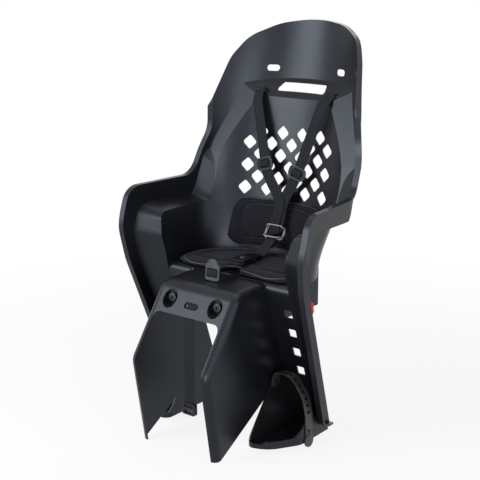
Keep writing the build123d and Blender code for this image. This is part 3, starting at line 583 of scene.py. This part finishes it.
def ribbon(name: str, path: Array, across: Array, width: float, thick: float) -> Object:
    """Flat tape along a path: a rounded bar section carried along it.

    The section is a superellipse, x = w/2 * sign(cos t) * |cos t|^0.35 across the tape and
    y = h/2 * sign(sin t) * |sin t|^0.6 through it.

    Args:
        name: the piece's name.
        path: the tape's middle line, in millimetres.
        across: direction across the tape.
        width: tape width in millimetres.
        thick: tape thickness in millimetres.

    Returns:
        The tape, capped at both ends.
    """
    tangent = unit(np.gradient(path, axis=0))
    side = unit(across - tangent * np.sum(tangent * across, axis=1, keepdims=True))
    face = np.cross(side, tangent)
    turn = np.linspace(0.0, TURN, TAPE_SAMPLES, endpoint=False)
    wide, high = (
        size / 2 * np.sign(way) * np.abs(way) ** power
        for size, way, power in zip((width, thick), (np.cos(turn), np.sin(turn)), TAPE_POWERS))
    grid = path[:, None] + side[:, None] * wide[None, :, None] + face[:, None] * high[None, :, None]
    uv = np.stack(np.broadcast_arrays(wide[None, :], arc_length(path)[:, None]), axis=-1)
    return mesh_from_grid(name, grid, uv, closed=False)


def tube(name: str, path: Array, radius: float) -> Object:
    """Round closed cord along a path: a circle carried along it.

    At angle t the surface is path + radius * (side * cos t + face * sin t). The side is the tangent crossed
    with the direction that the path runs along least, so the circle never flips, and the face is side
    crossed with tangent.

    Args:
        name: the piece's name.
        path: the cord's middle line, in millimetres.
        radius: the cord's radius in millimetres.

    Returns:
        The cord.
    """
    tangent = unit(np.roll(path, -1, axis=0) - np.roll(path, 1, axis=0))
    least = np.linalg.svd(tangent, full_matrices=False)[2][-1]
    side = unit(np.cross(tangent, least))
    face = np.cross(side, tangent)
    turn = np.linspace(0.0, TURN, CORD_SAMPLES, endpoint=False)
    grid = path[:, None] + radius * (side[:, None] * np.cos(turn)[None, :, None]
                                     + face[:, None] * np.sin(turn)[None, :, None])
    uv = np.stack(np.broadcast_arrays(radius * turn[None, :], arc_length(path)[:, None]), axis=-1)
    return mesh_from_grid(name, grid, uv, closed=True)


def dress(piece: Object, material: Material) -> None:
    """Give a piece one material on all its faces."""
    piece.data.materials.clear()
    piece.data.materials.append(material)


def settle(piece: Object, material: Material,
           replaces: Optional[str] = None) -> None:
    """Dress a piece, seat it on the seat's body and hide the node that it stands for.

    Args:
        piece: the finished piece.
        material: its finish.
        replaces: the node that it stands for, if any.
    """
    dress(piece, material)
    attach(piece, SEAT_BODY)
    if replaces:
        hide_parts(replaces)
    LOG.info("%s: %d faces on %s", piece.name, len(piece.data.polygons), SEAT_BODY)


@dataclass(frozen=True)
class StrapLine:
    """Straight run of a strap from an edge to a bar, with the ways along it, across it and behind it."""

    edge: Array
    along: Array
    across: Array
    back: Array
    run: float

    def flat(self, point: Array) -> Pair:
        """Place of a point in the strap's side view."""
        return float((point - self.edge) @ self.along), float((point - self.edge) @ self.back)

    def spot(self, along: float, behind: float) -> Array:
        """Point from its place in the strap's side view."""
        return self.edge + along * self.along + behind * self.back


@dataclass(frozen=True)
class Slack:
    """How a shoulder strap lies: its drift, its adjuster's place and its loop round the ring's bar."""

    drift: float
    adjuster_share: float
    loop: float
    skews: float


@dataclass
class Harness:
    """Five-point harness: shoulder straps, lap strap, crotch strap and the safety strap in the tunnel."""

    material: Material
    # trim is the beads' material: a grey lighter than the black adjusters, a painted rim highlight.
    trim: Material
    ring: Material
    width: float = 25.0
    thick: float = 1.8
    gap: float = 0.3
    slot_x: float = 87.0
    slot_run: float = 30.5
    slot_cuts: Pair = (5.0, 9.0)
    shelf: Pair = (105.0, 396.0)
    shelf_slope: float = 37.0
    shelf_bow: float = 463.0
    stand: float = 8.0
    stand_way: Triple = (0.0, -1.0, 0.4)
    tail: float = 16.0
    slack: dict[Side, Slack] = field(default_factory=lambda: {
        Side.LEFT: Slack(-9.0, 0.55, 3.8, 1.0), Side.RIGHT: Slack(24.0, 0.51, 6.5, 3.0)})
    cross_z: float = 203.0
    cross_spread: float = 38.0
    ring_middle: Triple = (0.0, 52.0, 138.0)
    ring_tilt: float = 33.0
    ring_arm: float = 13.0
    meet_x: float = 6.0
    loop: float = 3.8
    loop_round: float = 0.85
    fold_back: float = 24.0
    rim_half: float = 24.0
    rim_corner: float = 12.0
    rim_r: float = 1.6
    rim_lift: float = 10.0
    rim_blend: float = 5.5
    rim_step: float = 1.0
    adjuster: Pair = (42.0, 27.0)
    adjuster_half: float = 5.75
    adjuster_corner: float = 11.0
    ladder: Pair = (34.0, 42.0)
    ladder_half: float = 6.0
    ladder_lift: float = 38.0
    ladder_top: float = 6.0
    ladder_slant: float = 12.0
    ladder_corner: float = 4.5
    plate: float = 3.0
    bead_r: float = 0.8
    bead_sink: float = 0.25
    bead_step: float = 1.2
    fold_top: float = 4.8
    fold_cut: float = 3.0
    fold_step: float = 0.8
    buckle_z: float = 101.6
    tongue_y: float = -12.7
    plug: float = 10.0
    lap_lead: float = 14.0
    lap_cut: float = 5.0
    crotch: tuple[Pair, ...] = (
        (-67.0, 101.6), (-96.0, 101.6), (-114.0, 110.6), (-149.5, 110.6), (-153.5, 66.0))
    crotch_cuts: Triple = (4.0, 4.0, 6.0)
    safety: tuple[Pair, ...] = ((-201.0, 63.3), (-226.4, 27.3), (-226.4, -162.0))
    safety_cuts: tuple[float, ...] = (8.0,)

    def ring_down(self) -> Array:
        """Direction from the ring's upper bar to its lower bar."""
        return np.array((0.0, -sin(radians(self.ring_tilt)), -cos(radians(self.ring_tilt))))

    def shelf_axes(self) -> tuple[Array, Array]:
        """Directions up the shelf's slope and out of its face."""
        slope = radians(self.shelf_slope)
        return np.array((0.0, cos(slope), sin(slope))), np.array((0.0, -sin(slope), cos(slope)))

    def slot(self, side: Side) -> Array:
        """Middle of a strap's slot in the shelf, which bows by R - sqrt(R^2 - x^2) like a cylinder.

        Args:
            side: the child's side.

        Returns:
            The point.
        """
        way, lift = self.shelf_axes()
        sag = self.shelf_bow - (self.shelf_bow ** 2 - self.slot_x ** 2) ** 0.5
        return np.array((side.value * self.slot_x, *self.shelf)) + way * self.slot_run + lift * sag

    def line(self, side: Side) -> StrapLine:
        """Shoulder strap's run from the shelf's edge to the ring's upper bar.

        Args:
            side: the child's side.

        Returns:
            The run.
        """
        slot = self.slot(side)
        bar = np.array(self.ring_middle) - self.ring_down() * self.ring_arm
        bar += X_AXIS * side.value * self.meet_x
        edge_z = slot[2] - self.slot_run * self.shelf_axes()[0][2]
        edge_x = slot[0] + (bar[0] - slot[0]) * (slot[2] - edge_z) / (slot[2] - bar[2])
        edge = np.array((edge_x, self.shelf[0], edge_z)) + np.array(self.stand_way) * self.stand
        along = unit(bar - edge)
        across = unit(X_AXIS - along * along[0])
        return StrapLine(edge, along, across, np.cross(across, along), float(np.linalg.norm(bar - edge)))

    def shoulder(self, side: Side) -> Object:
        """Strap from the slot in the shelf, over the shelf's edge, down to the ring and round its upper bar.

        The slack drifts it sideways by drift * exp(-((z - cross_z) / cross_spread)^2), so the straps cross.

        Args:
            side: the child's side.

        Returns:
            The strap.
        """
        line, slot, lift, slack = self.line(side), self.slot(side), self.shelf_axes()[1], self.slack[side]
        skew = self.width / 2 * abs(line.along[0]) / line.across[0]
        turn = line.run + slack.loop + slack.skews * skew
        bend = self.loop_round * slack.loop
        drawn = rounded_path(
            [line.flat(slot - lift * self.tail), line.flat(slot + lift * self.stand), (0, 0),
             (turn, -slack.loop), (turn, slack.loop), (line.run - self.fold_back, slack.loop)],
            (*self.slot_cuts, bend, bend))
        path = lay(drawn, line.edge, line.along, line.back)
        path[:, 0] += slack.drift * np.exp(-((path[:, 2] - self.cross_z) / self.cross_spread) ** 2)
        return ribbon(f"webbing_shoulder_{side.name.lower()}", path, line.across, self.width, self.thick)

    def trim_plate(self, name: str, middle: Array, along: Array, out: Array, outline: Array,
                   bar: Pair) -> None:
        """Fold of webbing over an adjuster's bar, through the slots beside it, and a bead on the front edge,
        whose grey paints the rim's highlight.

        Args:
            name: the strap's name.
            middle: the outline's origin, on the plate's rear face.
            along: direction from slot to slot.
            out: direction out of the plate's face.
            outline: the bead's samples, across and along the plate.
            bar: the bar's place along the plate, and half the distance between its slots.
        """
        across = np.cross(along, out)
        low, high = bar[0] - bar[1], bar[0] + bar[1]
        route = [(low, self.gap), (low, self.fold_top), (high, self.fold_top), (high, self.gap)]
        drawn = rounded_path(route, (self.fold_cut, self.fold_cut), self.fold_step)
        fold = ribbon(f"webbing_fold_{name}", lay(drawn, middle, along, out), across, self.width, self.thick)
        settle(fold, self.material)
        # The bead's shape is real. Its grey material paints the highlight along the adjuster's rim.
        rise = out * (self.plate - self.bead_sink * self.bead_r)
        bead = tube(f"adjuster_highlight_bead_{name}", lay(outline, middle + rise, across, along), self.bead_r)
        settle(bead, self.trim)

    def trim_shoulder(self, side: Side) -> None:
        """Trim of a shoulder strap's adjuster.

        Args:
            side: the child's side.
        """
        line, slack = self.line(side), self.slack[side]
        share = slack.adjuster_share
        middle = line.spot(line.run * share, -slack.loop * share - self.thick / 2 - 2 * self.gap)
        half, tall = (size / 2 - self.bead_r for size in self.adjuster)
        outline = rounded_box(half, -tall, tall, self.adjuster_corner, self.bead_step)
        self.trim_plate(side.name.lower(), middle, line.along, -line.back, outline,
                        (0.0, self.adjuster_half))

    def trim_crotch(self) -> None:
        """Trim of the crotch strap's adjuster, whose upper corners slant."""
        knee, foot = (np.array((0.0, *point)) for point in self.crotch[-2:])
        up = unit(knee - foot)
        out = -np.cross(up, X_AXIS)
        middle = foot + up * self.ladder_lift + out * (self.thick / 2 + self.gap)
        half, tall = (size / 2 - self.bead_r for size in self.ladder)
        right = [(half, -tall), (half, tall - self.ladder_slant), (self.ladder_top, tall)]
        left = [(-x, y) for x, y in reversed(right)]
        outline = rounded_loop(right + left, self.ladder_corner, self.bead_step)
        self.trim_plate("crotch", middle, up, out, outline, (-self.ladder_half, self.ladder_half))

    def ring_rim(self) -> Object:
        """Rim of the harness ring in front of the webbing.

        It follows the ring's outline. Its height over the ring is lift * s^2 * (3 - 2 * s), where s goes from
        0 at the ring's sides to 1 further in, so it clears the straps and joins the ring beside them.

        Returns:
            The closed rim.
        """
        down = self.ring_down()
        outline = rounded_box(self.rim_half, -self.ring_arm, self.ring_arm, self.rim_corner, self.rim_step)
        share = np.clip((self.rim_half - np.abs(outline[:, :1])) / self.rim_blend, 0.0, 1.0)
        height = self.rim_lift * share ** 2 * (3 - 2 * share)
        path = lay(outline, np.array(self.ring_middle), X_AXIS, down) + height * np.cross(down, X_AXIS)
        return tube("ring_rim", path, self.rim_r)

    def lap(self) -> Object:
        """Strap from round the ring's lower bar to the buckle's tongue.

        Returns:
            The strap.
        """
        bar = np.array(self.ring_middle) + self.ring_down() * self.ring_arm
        knee = np.array((0.0, self.tongue_y + self.lap_lead, self.buckle_z))
        end = np.array((0.0, self.tongue_y - self.plug, self.buckle_z))
        along = unit(knee - bar)
        line = StrapLine(bar, along, X_AXIS, np.cross(X_AXIS, along), float(np.linalg.norm(knee - bar)))
        loop, bend = self.loop, self.loop_round * self.loop
        route = [(self.fold_back, loop), (-loop, loop), (-loop, -loop), (line.run, 0), line.flat(end)]
        path = lay(rounded_path(route, (bend, bend, self.lap_cut)), bar, along, line.back)
        return ribbon("webbing_lap", path, X_AXIS, self.width, self.thick)

    def upright(self, name: str, route: Sequence[Pair], cuts: Sequence[float]) -> Object:
        """Strap in the seat's middle plane, from its corners' depth and height and their cuts."""
        path = lay(rounded_path(route, cuts), np.zeros(3), Y_AXIS, Z_AXIS)
        return ribbon(name, path, X_AXIS, self.width, self.thick)

    def build(self) -> None:
        """Make the straps and the trim and seat them."""
        for side in Side:
            settle(self.shoulder(side), self.material, f"shoulder_strap_{side.name.lower()}")
            self.trim_shoulder(side)
        self.trim_crotch()
        settle(self.ring_rim(), self.ring)
        settle(self.lap(), self.material, "lap_strap")
        crotch = self.upright("webbing_crotch", self.crotch, self.crotch_cuts)
        settle(crotch, self.material, "crotch_strap")
        safety = self.upright("webbing_safety", self.safety, self.safety_cuts)
        settle(safety, self.material, "safety_strap")


@dataclass
class Pad:
    """A foam pad in a sewn cover, grown from its plain solid by a short cloth simulation."""

    node: str
    name: str
    material: Material
    piping: Material
    stitching: Material
    face: Triple
    seam: Array
    rim: Array
    flat_axes: tuple[int, int] = (0, 1)
    voxel: float = 4.0
    weld: float = 0.01
    smooth_factor: float = 0.5
    smooth_rounds: int = 4
    shrink: float = 1.6
    swell: float = 2.4
    pressure: float = 4.0
    quality: int = 4
    frames: int = 20
    seam_depth: float = 2.7
    seam_width: float = 4.5
    facing_gain: float = 1.6
    facing_start: float = 0.4
    cord: float = 1.0
    thread: float = 0.55
    cord_lift: float = 0.5
    front_limit: float = 0.3
    nearest: int = 6
    soften: float = 0.3
    mean_half: int = 7
    seam_batch: int = 2000
    cord_batch: int = 60

    def core(self) -> Object:
        """Copy of the solid, merged, remeshed evenly and smoothed.

        Returns:
            The copy.
        """
        copy = bpy.data.objects.new(self.name, bpy.data.objects[self.node].data.copy())
        bpy.context.collection.objects.link(copy)
        smoothing = {"factor": self.smooth_factor, "iterations": self.smooth_rounds}
        for kind, settings in (("WELD", {"merge_threshold": self.weld * MM}),
                               ("REMESH", {"mode": "VOXEL", "voxel_size": self.voxel * MM}),
                               ("SMOOTH", smoothing)):
            modifier = copy.modifiers.new(kind.lower(), kind)
            for key, value in settings.items():
                setattr(modifier, key, value)
        self.bake(copy)
        return copy

    @staticmethod
    def bake(piece: Object) -> None:
        """Put the result of a piece's modifiers into its mesh.

        Args:
            piece: the piece, which loses its modifiers.
        """
        seen = piece.evaluated_get(bpy.context.evaluated_depsgraph_get())
        mesh = bpy.data.meshes.new_from_object(seen)
        old = piece.data
        piece.modifiers.clear()
        piece.data = mesh
        bpy.data.meshes.remove(old)

    @staticmethod
    def points(piece: Object) -> Array:
        """A piece's vertices in millimetres."""
        return vectors(piece.data.vertices, "co") / MM

    @staticmethod
    def normals(piece: Object) -> Array:
        """A piece's vertex normals."""
        return vectors(piece.data.vertex_normals, "vector")

    @staticmethod
    def move(piece: Object, points: Array) -> None:
        """Put vertices, in millimetres, back into a piece."""
        piece.data.vertices.foreach_set("co", (points * MM).astype(np.float32).ravel())
        piece.data.update()

    def simulate(self, piece: Object) -> None:
        """Let the cover swell under pressure, as cloth without gravity.

        Args:
            piece: the pad.
        """
        scene = bpy.context.scene
        cloth = piece.modifiers.new("cover", "CLOTH")
        cloth.settings.use_pressure = True
        cloth.settings.uniform_pressure_force = self.pressure
        cloth.settings.effector_weights.gravity = 0.0
        cloth.settings.quality = self.quality
        cloth.point_cache.frame_start, cloth.point_cache.frame_end = 1, self.frames
        for frame in range(1, self.frames + 1):
            scene.frame_set(frame)
        self.bake(piece)
        scene.frame_set(1)

    def inflate(self, piece: Object) -> None:
        """Draw the cover in along its normals, let it swell, and cap how far each point goes.

        Args:
            piece: the pad.
        """
        start = self.points(piece)
        drawn = start - self.normals(piece) * self.shrink
        self.move(piece, drawn)
        self.simulate(piece)
        shift = self.points(piece) - drawn
        reach = np.linalg.norm(shift, axis=1, keepdims=True)
        self.move(piece, drawn + shift * np.minimum(1.0, self.swell / np.maximum(reach, 1e-6)))

    def seam_distance(self, points: Array) -> Array:
        """Distance from each point to the nearest sample of the seam, in the pad's flat view.

        Args:
            points: rows in millimetres.

        Returns:
            One distance for each row.
        """
        flat = points[:, list(self.flat_axes)]
        parts = np.array_split(flat, max(1, len(flat) // self.seam_batch))
        gaps = [np.linalg.norm(part[:, None] - self.seam[None], axis=2).min(axis=1) for part in parts]
        return np.concatenate(gaps)

    def sew(self, piece: Object) -> None:
        """Press the seam into the side that faces the child: depth times exp(-(distance / width)^2).

        Args:
            piece: the pad.
        """
        modifier = piece.modifiers.new("fine", "SUBSURF")
        modifier.levels = modifier.render_levels = 1
        self.bake(piece)
        points, normal = self.points(piece), self.normals(piece)
        facing = np.clip(normal @ np.array(self.face) * self.facing_gain - self.facing_start, 0.0, 1.0)
        dip = self.seam_depth * np.exp(-(self.seam_distance(points) / self.seam_width) ** 2) * facing
        self.move(piece, points - normal * dip[:, None])
        smooth(piece.data)

    def cord_along(self, piece: Object, outline: Array, radius: float,
                   name: str) -> Object:
        """Cord that follows an outline over the pad's face.

        Its level at a sample is the mean of the nearest points of the face, weighted by
        1 / (distance + soften), and then a running mean along the cord.

        Args:
            piece: the finished pad.
            outline: samples in the pad's flat view.
            radius: the cord's radius in millimetres.
            name: the cord's name.

        Returns:
            The closed cord.
        """
        front = self.points(piece)[self.normals(piece) @ np.array(self.face) > self.front_limit]
        flat = list(self.flat_axes)
        upward = 3 - sum(flat)
        level = np.zeros(len(outline))
        for part in np.array_split(np.arange(len(outline)), max(1, len(outline) // self.cord_batch)):
            gaps = np.linalg.norm(outline[part, None] - front[None][..., flat], axis=2)
            near = np.argpartition(gaps, self.nearest, axis=1)[:, :self.nearest]
            weight = 1 / (np.take_along_axis(gaps, near, axis=1) + self.soften)
            level[part] = (front[near, upward] * weight).sum(axis=1) / weight.sum(axis=1)
        run = 2 * self.mean_half + 1
        joined = np.concatenate((level[-self.mean_half:], level, level[:self.mean_half]))
        path = np.zeros((len(outline), 3))
        path[:, flat] = outline
        path[:, upward] = np.convolve(joined, np.ones(run) / run, "valid")
        return tube(name, path + np.array(self.face) * radius * self.cord_lift, radius)

    def build(self) -> None:
        """Make the pad, its piping and its seam and seat them."""
        piece = self.core()
        self.inflate(piece)
        self.sew(piece)
        settle(piece, self.material, self.node)
        for part, outline, radius, finish in (("piping", self.rim, self.cord, self.piping),
                                              ("seam", self.seam, self.thread, self.stitching)):
            cord = self.cord_along(piece, outline, radius, f"{self.name}_{part}")
            settle(cord, finish)


@dataclass(frozen=True)
class SeatPlan:
    """Seat pad's outline: half an ellipse behind, straight sides, round front corners and a notch."""

    half: float = 148.0
    depth: float = 111.0
    front: float = -104.0
    rear: float = 63.0
    bend: float = 55.0
    notch: float = 20.5
    notch_y: float = -94.5
    samples: tuple[int, int, int] = (60, 16, 20)
    step: float = 2.5

    def inside(self, inset: float) -> Array:
        """Outline that runs inside the pad's edge.

        Each arc is its middle plus its radius times the cosine and sine of the angle, with the radius less
        the inset, or more for the notch. The samples are then spaced evenly by length.

        Args:
            inset: how far inside the edge, in millimetres.

        Returns:
            Samples round the outline.
        """
        half, depth, bend = self.half - inset, self.depth - inset, self.bend - inset
        front, rear, notch = self.front + inset, self.rear - inset, self.notch + inset
        turn, corner, bite = (
            np.linspace(start, end, count)
            for start, end, count in zip((0.0, 0.0, pi), (pi, pi / 2, 0.0), self.samples))
        rear_arc = np.column_stack((half * np.cos(turn), rear - depth + depth * np.sin(turn)))
        left = np.column_stack((-half + bend - bend * np.cos(corner), front + bend - bend * np.sin(corner)))
        notch_arc = np.column_stack((notch * np.cos(bite), self.notch_y + notch * np.sin(bite)))
        notch_arc = notch_arc[notch_arc[:, 1] >= front]
        right = left[::-1] * np.array((-1.0, 1.0))
        loop = np.vstack((rear_arc, left, notch_arc, right, rear_arc[:1]))
        length = arc_length(loop)
        even = np.linspace(0.0, length[-1], int(length[-1] / self.step), endpoint=False)
        return np.column_stack([np.interp(even, length, column) for column in loop.T])


@dataclass(frozen=True)
class BackPlan:
    """Back pad's outline as width and height: a rectangle with generous corners."""

    half: float = 114.0
    low: float = 98.3
    high: float = 201.3
    corner: float = 30.0

    def inside(self, side: float, foot: float, head: float) -> Array:
        """Outline that runs inside the pad's sides, lower edge and upper edge by the given amounts."""
        return rounded_box(self.half - side, self.low + foot, self.high - head, self.corner)


@dataclass
class Upholstery:
    """The seat pad and the back pad, with how far inside their edges the piping and the seams run."""

    cloth: Material
    piping: Material
    stitching: Material
    edge: float = 2.0
    seat_panel: float = 34.0
    back_panel: Triple = (24.0, 18.0, 14.0)
    back_voxel: float = 3.2

    def build(self) -> None:
        """Make both pads with their inner panels and piping."""
        seat, back = SeatPlan(), BackPlan()
        # The seat pad's piping wears the lighter grey, which is partly a painted edge highlight.
        Pad("seat_pad", "cushion_seat", self.cloth, self.piping, self.stitching, (0.0, 0.0, 1.0),
            seat.inside(self.seat_panel), seat.inside(self.edge)).build()
        Pad("back_pad", "cushion_back", self.cloth, self.stitching, self.stitching, (0.0, -1.0, 0.0),
            back.inside(*self.back_panel), back.inside(self.edge, self.edge, self.edge),
            flat_axes=(0, 2), voxel=self.back_voxel).build()


@dataclass
class Finishes:
    """The seat's finishes, and which node wears which."""

    shell: Finish = Finish.moulded("charcoal_shell_plastic", (0.0046, 0.0049, 0.0064), 0.24)
    footrest: Finish = Finish.moulded("charcoal_footrest_plastic", (0.0056, 0.0058, 0.0072), 0.26)
    slider: Finish = Finish.moulded("black_slider_plastic", (0.008, 0.008, 0.009), 0.26, grain=1200.0)
    knob: Finish = Finish.moulded("red_knob_plastic", (0.5, 0.018, 0.02), 0.28, grain=700.0)
    coat: Finish = Finish.moulded(
        "black_powder_coat", (0.01, 0.01, 0.0105), 0.36, grain=1500.0, depth=0.0002, strength=0.4)
    gloss: Finish = Finish.gloss("black_buckle_plastic", (0.004, 0.004, 0.0045), 0.2, shine=0.13)
    grey: Finish = Finish.gloss("grey_ring_plastic", (0.19, 0.195, 0.2), 0.15)
    ladder: Finish = Finish.gloss("grey_ladder_plastic", (0.045, 0.047, 0.051), 0.16, shine=0.4)
    # The beads' grey is lighter than the black buckle plastic of the adjusters they edge: a painted highlight
    # along the rims, on a real rounded bead.
    bead: Finish = Finish.gloss("grey_bead_plastic", (0.042, 0.044, 0.048), 0.1)
    button: Finish = Finish.gloss("dark_button_plastic", (0.02, 0.02, 0.022), 0.14)
    rubber: Finish = Finish.rubber("black_strap_rubber", (0.016, 0.016, 0.017))
    bolt: Finish = Finish.steel("black_plated_steel", (0.07, 0.07, 0.075), 0.22)
    plate: Finish = Finish.steel("bright_plated_steel", (0.62, 0.62, 0.61), 0.2)
    webbing: Finish = Finish.tape("black_webbing", (0.0031, 0.0034, 0.0041))
    cloth: Finish = Finish.cloth("aubergine_pad_cloth", (0.0032, 0.0031, 0.0046), (0.0118, 0.0114, 0.0172))
    # The piping's grey, lighter than the cloth, is partly the cord's own colour and partly a painted
    # highlight along the seat pad's front edge.
    piping: Finish = Finish.thread("pad_piping", (0.036, 0.038, 0.044))
    stitching: Finish = Finish.thread("pad_stitching", (0.009, 0.0092, 0.0115))

    def wardrobe(self) -> dict[Finish, tuple[str, ...]]:
        """Names of the nodes that wear each finish."""
        return {
            self.shell: ("seat_shell",),
            self.footrest: ("footrest_left", "footrest_right"),
            self.slider: ("safety_strap_slider",),
            self.gloss: ("strap_adjuster_left", "strap_adjuster_right", "buckle_body", "buckle_tongue"),
            self.grey: ("harness_ring",),
            self.ladder: ("crotch_adjuster",),
            self.button: ("buckle_button",),
            self.knob: ("clamp_knob",),
            self.rubber: ("foot_strap_left", "foot_strap_right"),
            self.bolt: ("mount_bolts", "mount_nuts"),
            self.plate: ("strap_anchors", "clamp_spindle", "spindle_clip", "base_screws"),
            self.coat: ("clamp_base", "clamp_jaw_left", "clamp_jaw_right"),
        }

    def dress_nodes(self, nodes: dict[str, Object]) -> None:
        """Give each rigid node its finish.

        Args:
            nodes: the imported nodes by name.
        """
        for finish, names in self.wardrobe().items():
            material = finish.make()
            for name in names:
                dress(nodes[name], material)
                LOG.info("%s wears %s", name, material.name)


@dataclass(frozen=True)
class Lamp:
    """Square soft lamp: its place and its edge in metres, and its power in watts."""

    name: str
    place: Triple
    size: float
    power: float


@dataclass
class Studio:
    """Camera, lamps, world and floor."""

    eye: Triple = (1.302, -1.733, 0.697)
    azimuth: float = 38.0
    elevation: float = 14.6
    lens: float = 82.1
    sensor: float = 36.0
    aim: Triple = (0.0, -0.05, 0.15)
    lamps: tuple[Lamp, ...] = (
        Lamp("key_lamp", (-1.0, -1.8, 0.95), 1.3, 40.0),
        Lamp("fill_lamp", (1.5, -2.0, 0.3), 1.2, 32.0),
        Lamp("side_lamp", (2.2, -0.6, 0.4), 2.0, 14.0),
        Lamp("top_lamp", (0.2, 0.2, 2.2), 1.4, 9.0),
        Lamp("rear_lamp", (-0.9, 1.7, 1.1), 1.2, 9.0))
    ambient: float = 0.1
    floor_z: float = -0.2395
    floor_half: float = 60.0
    floor_tone: float = 0.9
    floor_rough: float = 0.9
    glow: float = 0.86
    clear: Pair = (0.45, 1.5)

    @staticmethod
    def stand(name: str, data: ID, place: Triple, way: Vector) -> Object:
        """Put a camera or a lamp in its place, looking along a direction.

        Args:
            name: its name.
            data: the camera or the light.
            place: where it stands, in metres.
            way: the direction that it looks along.

        Returns:
            The object.
        """
        made = bpy.data.objects.new(name, data)
        made.location = place
        made.rotation_euler = way.to_track_quat("-Z", "Y").to_euler()
        bpy.context.collection.objects.link(made)
        return made

    def camera(self) -> None:
        """Camera at the photograph's viewing angle."""
        data = bpy.data.cameras.new("camera")
        data.lens, data.sensor_width, data.sensor_fit = self.lens, self.sensor, "HORIZONTAL"
        turn, rise = radians(self.azimuth), radians(self.elevation)
        look = Vector((-sin(turn) * cos(rise), cos(turn) * cos(rise), -sin(rise)))
        bpy.context.scene.camera = self.stand("camera", data, self.eye, look)

    def light(self, lamp: Lamp) -> None:
        """Hang a lamp that faces the seat.

        Args:
            lamp: the lamp.
        """
        data = bpy.data.lights.new(lamp.name, "AREA")
        data.size, data.energy = lamp.size, lamp.power
        self.stand(lamp.name, data, lamp.place, Vector(self.aim) - Vector(lamp.place))

    @staticmethod
    def white_rays(graph: Graph) -> Signal:
        """1 for the rays that show the background itself: from the camera, in a mirror or through glass.

        Args:
            graph: the graph that asks.

        Returns:
            1 or 0.
        """
        kinds = graph.add("ShaderNodeLightPath").outputs
        camera, glass, mirror = (
            Signal(graph, kinds[f"Is {kind} Ray"]) for kind in ("Camera", "Transmission", "Glossy"))
        return camera.math("MAXIMUM", glass).math("MAXIMUM", mirror)

    def world(self) -> None:
        """Dim even world that is white to the rays that show the background."""
        graph = Graph.world("studio")
        graph.set(Color=WHITE, Strength=self.white_rays(graph) * (1.0 - self.ambient) + self.ambient)
        bpy.context.scene.world = graph.owner

    def floor(self) -> None:
        """Wide white floor that glows to the rays that show the background, with a faint shadow."""
        wide = self.floor_half
        square = ((-wide, -wide), (wide, -wide), (wide, wide), (-wide, wide))
        spread = [(*spot, self.floor_z) for spot in square]
        mesh = bpy.data.meshes.new("floor")
        mesh.from_pydata(spread, [], [(0, 1, 2, 3)])
        floor = bpy.data.objects.new("floor", mesh)
        bpy.context.collection.objects.link(floor)
        graph = Graph.material("pale_floor")
        graph.set(Base_Color=(self.floor_tone,) * 3, Roughness=self.floor_rough)
        glow = graph.node("ShaderNodeEmission", None, {"Color": WHITE, "Strength": 1.0})
        away = graph.node("ShaderNodeVectorMath", {"operation": "LENGTH"}, {0: graph.place()}, output="Value")
        share = self.white_rays(graph) * (away.step(*self.clear) * (1.0 - self.glow) + self.glow)
        mixed = {0: share, 1: Signal(graph, graph.shader.outputs[0]), 2: glow}
        graph.feed(graph.output.inputs["Surface"], graph.node("ShaderNodeMixShader", None, mixed))
        dress(floor, graph.owner)

    def build(self) -> None:
        """Set up the studio."""
        bpy.context.scene.view_settings.view_transform = "Standard"
        self.camera()
        for lamp in self.lamps:
            self.light(lamp)
        self.world()
        self.floor()


def corners(box: Sequence[Sequence[float]]) -> list[list[float]]:
    """A box's two corners as plain lists."""
    return [[float(value) for value in corner] for corner in box]


def main() -> None:
    """Build the studio, dress the solids and make the added pieces."""
    logging.basicConfig(level=logging.INFO, format="%(message)s")
    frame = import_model()
    Studio().build()
    finishes = Finishes()
    finishes.dress_nodes(frame["nodes"])
    ring = frame["nodes"]["harness_ring"].data.materials[0]
    # The second material is the beads' grey, which paints the adjusters' rim highlight.
    Harness(finishes.webbing.make(), finishes.bead.make(), ring).build()
    Upholstery(finishes.cloth.make(), finishes.piping.make(), finishes.stitching.make()).build()


if __name__ == "__main__":
    main()
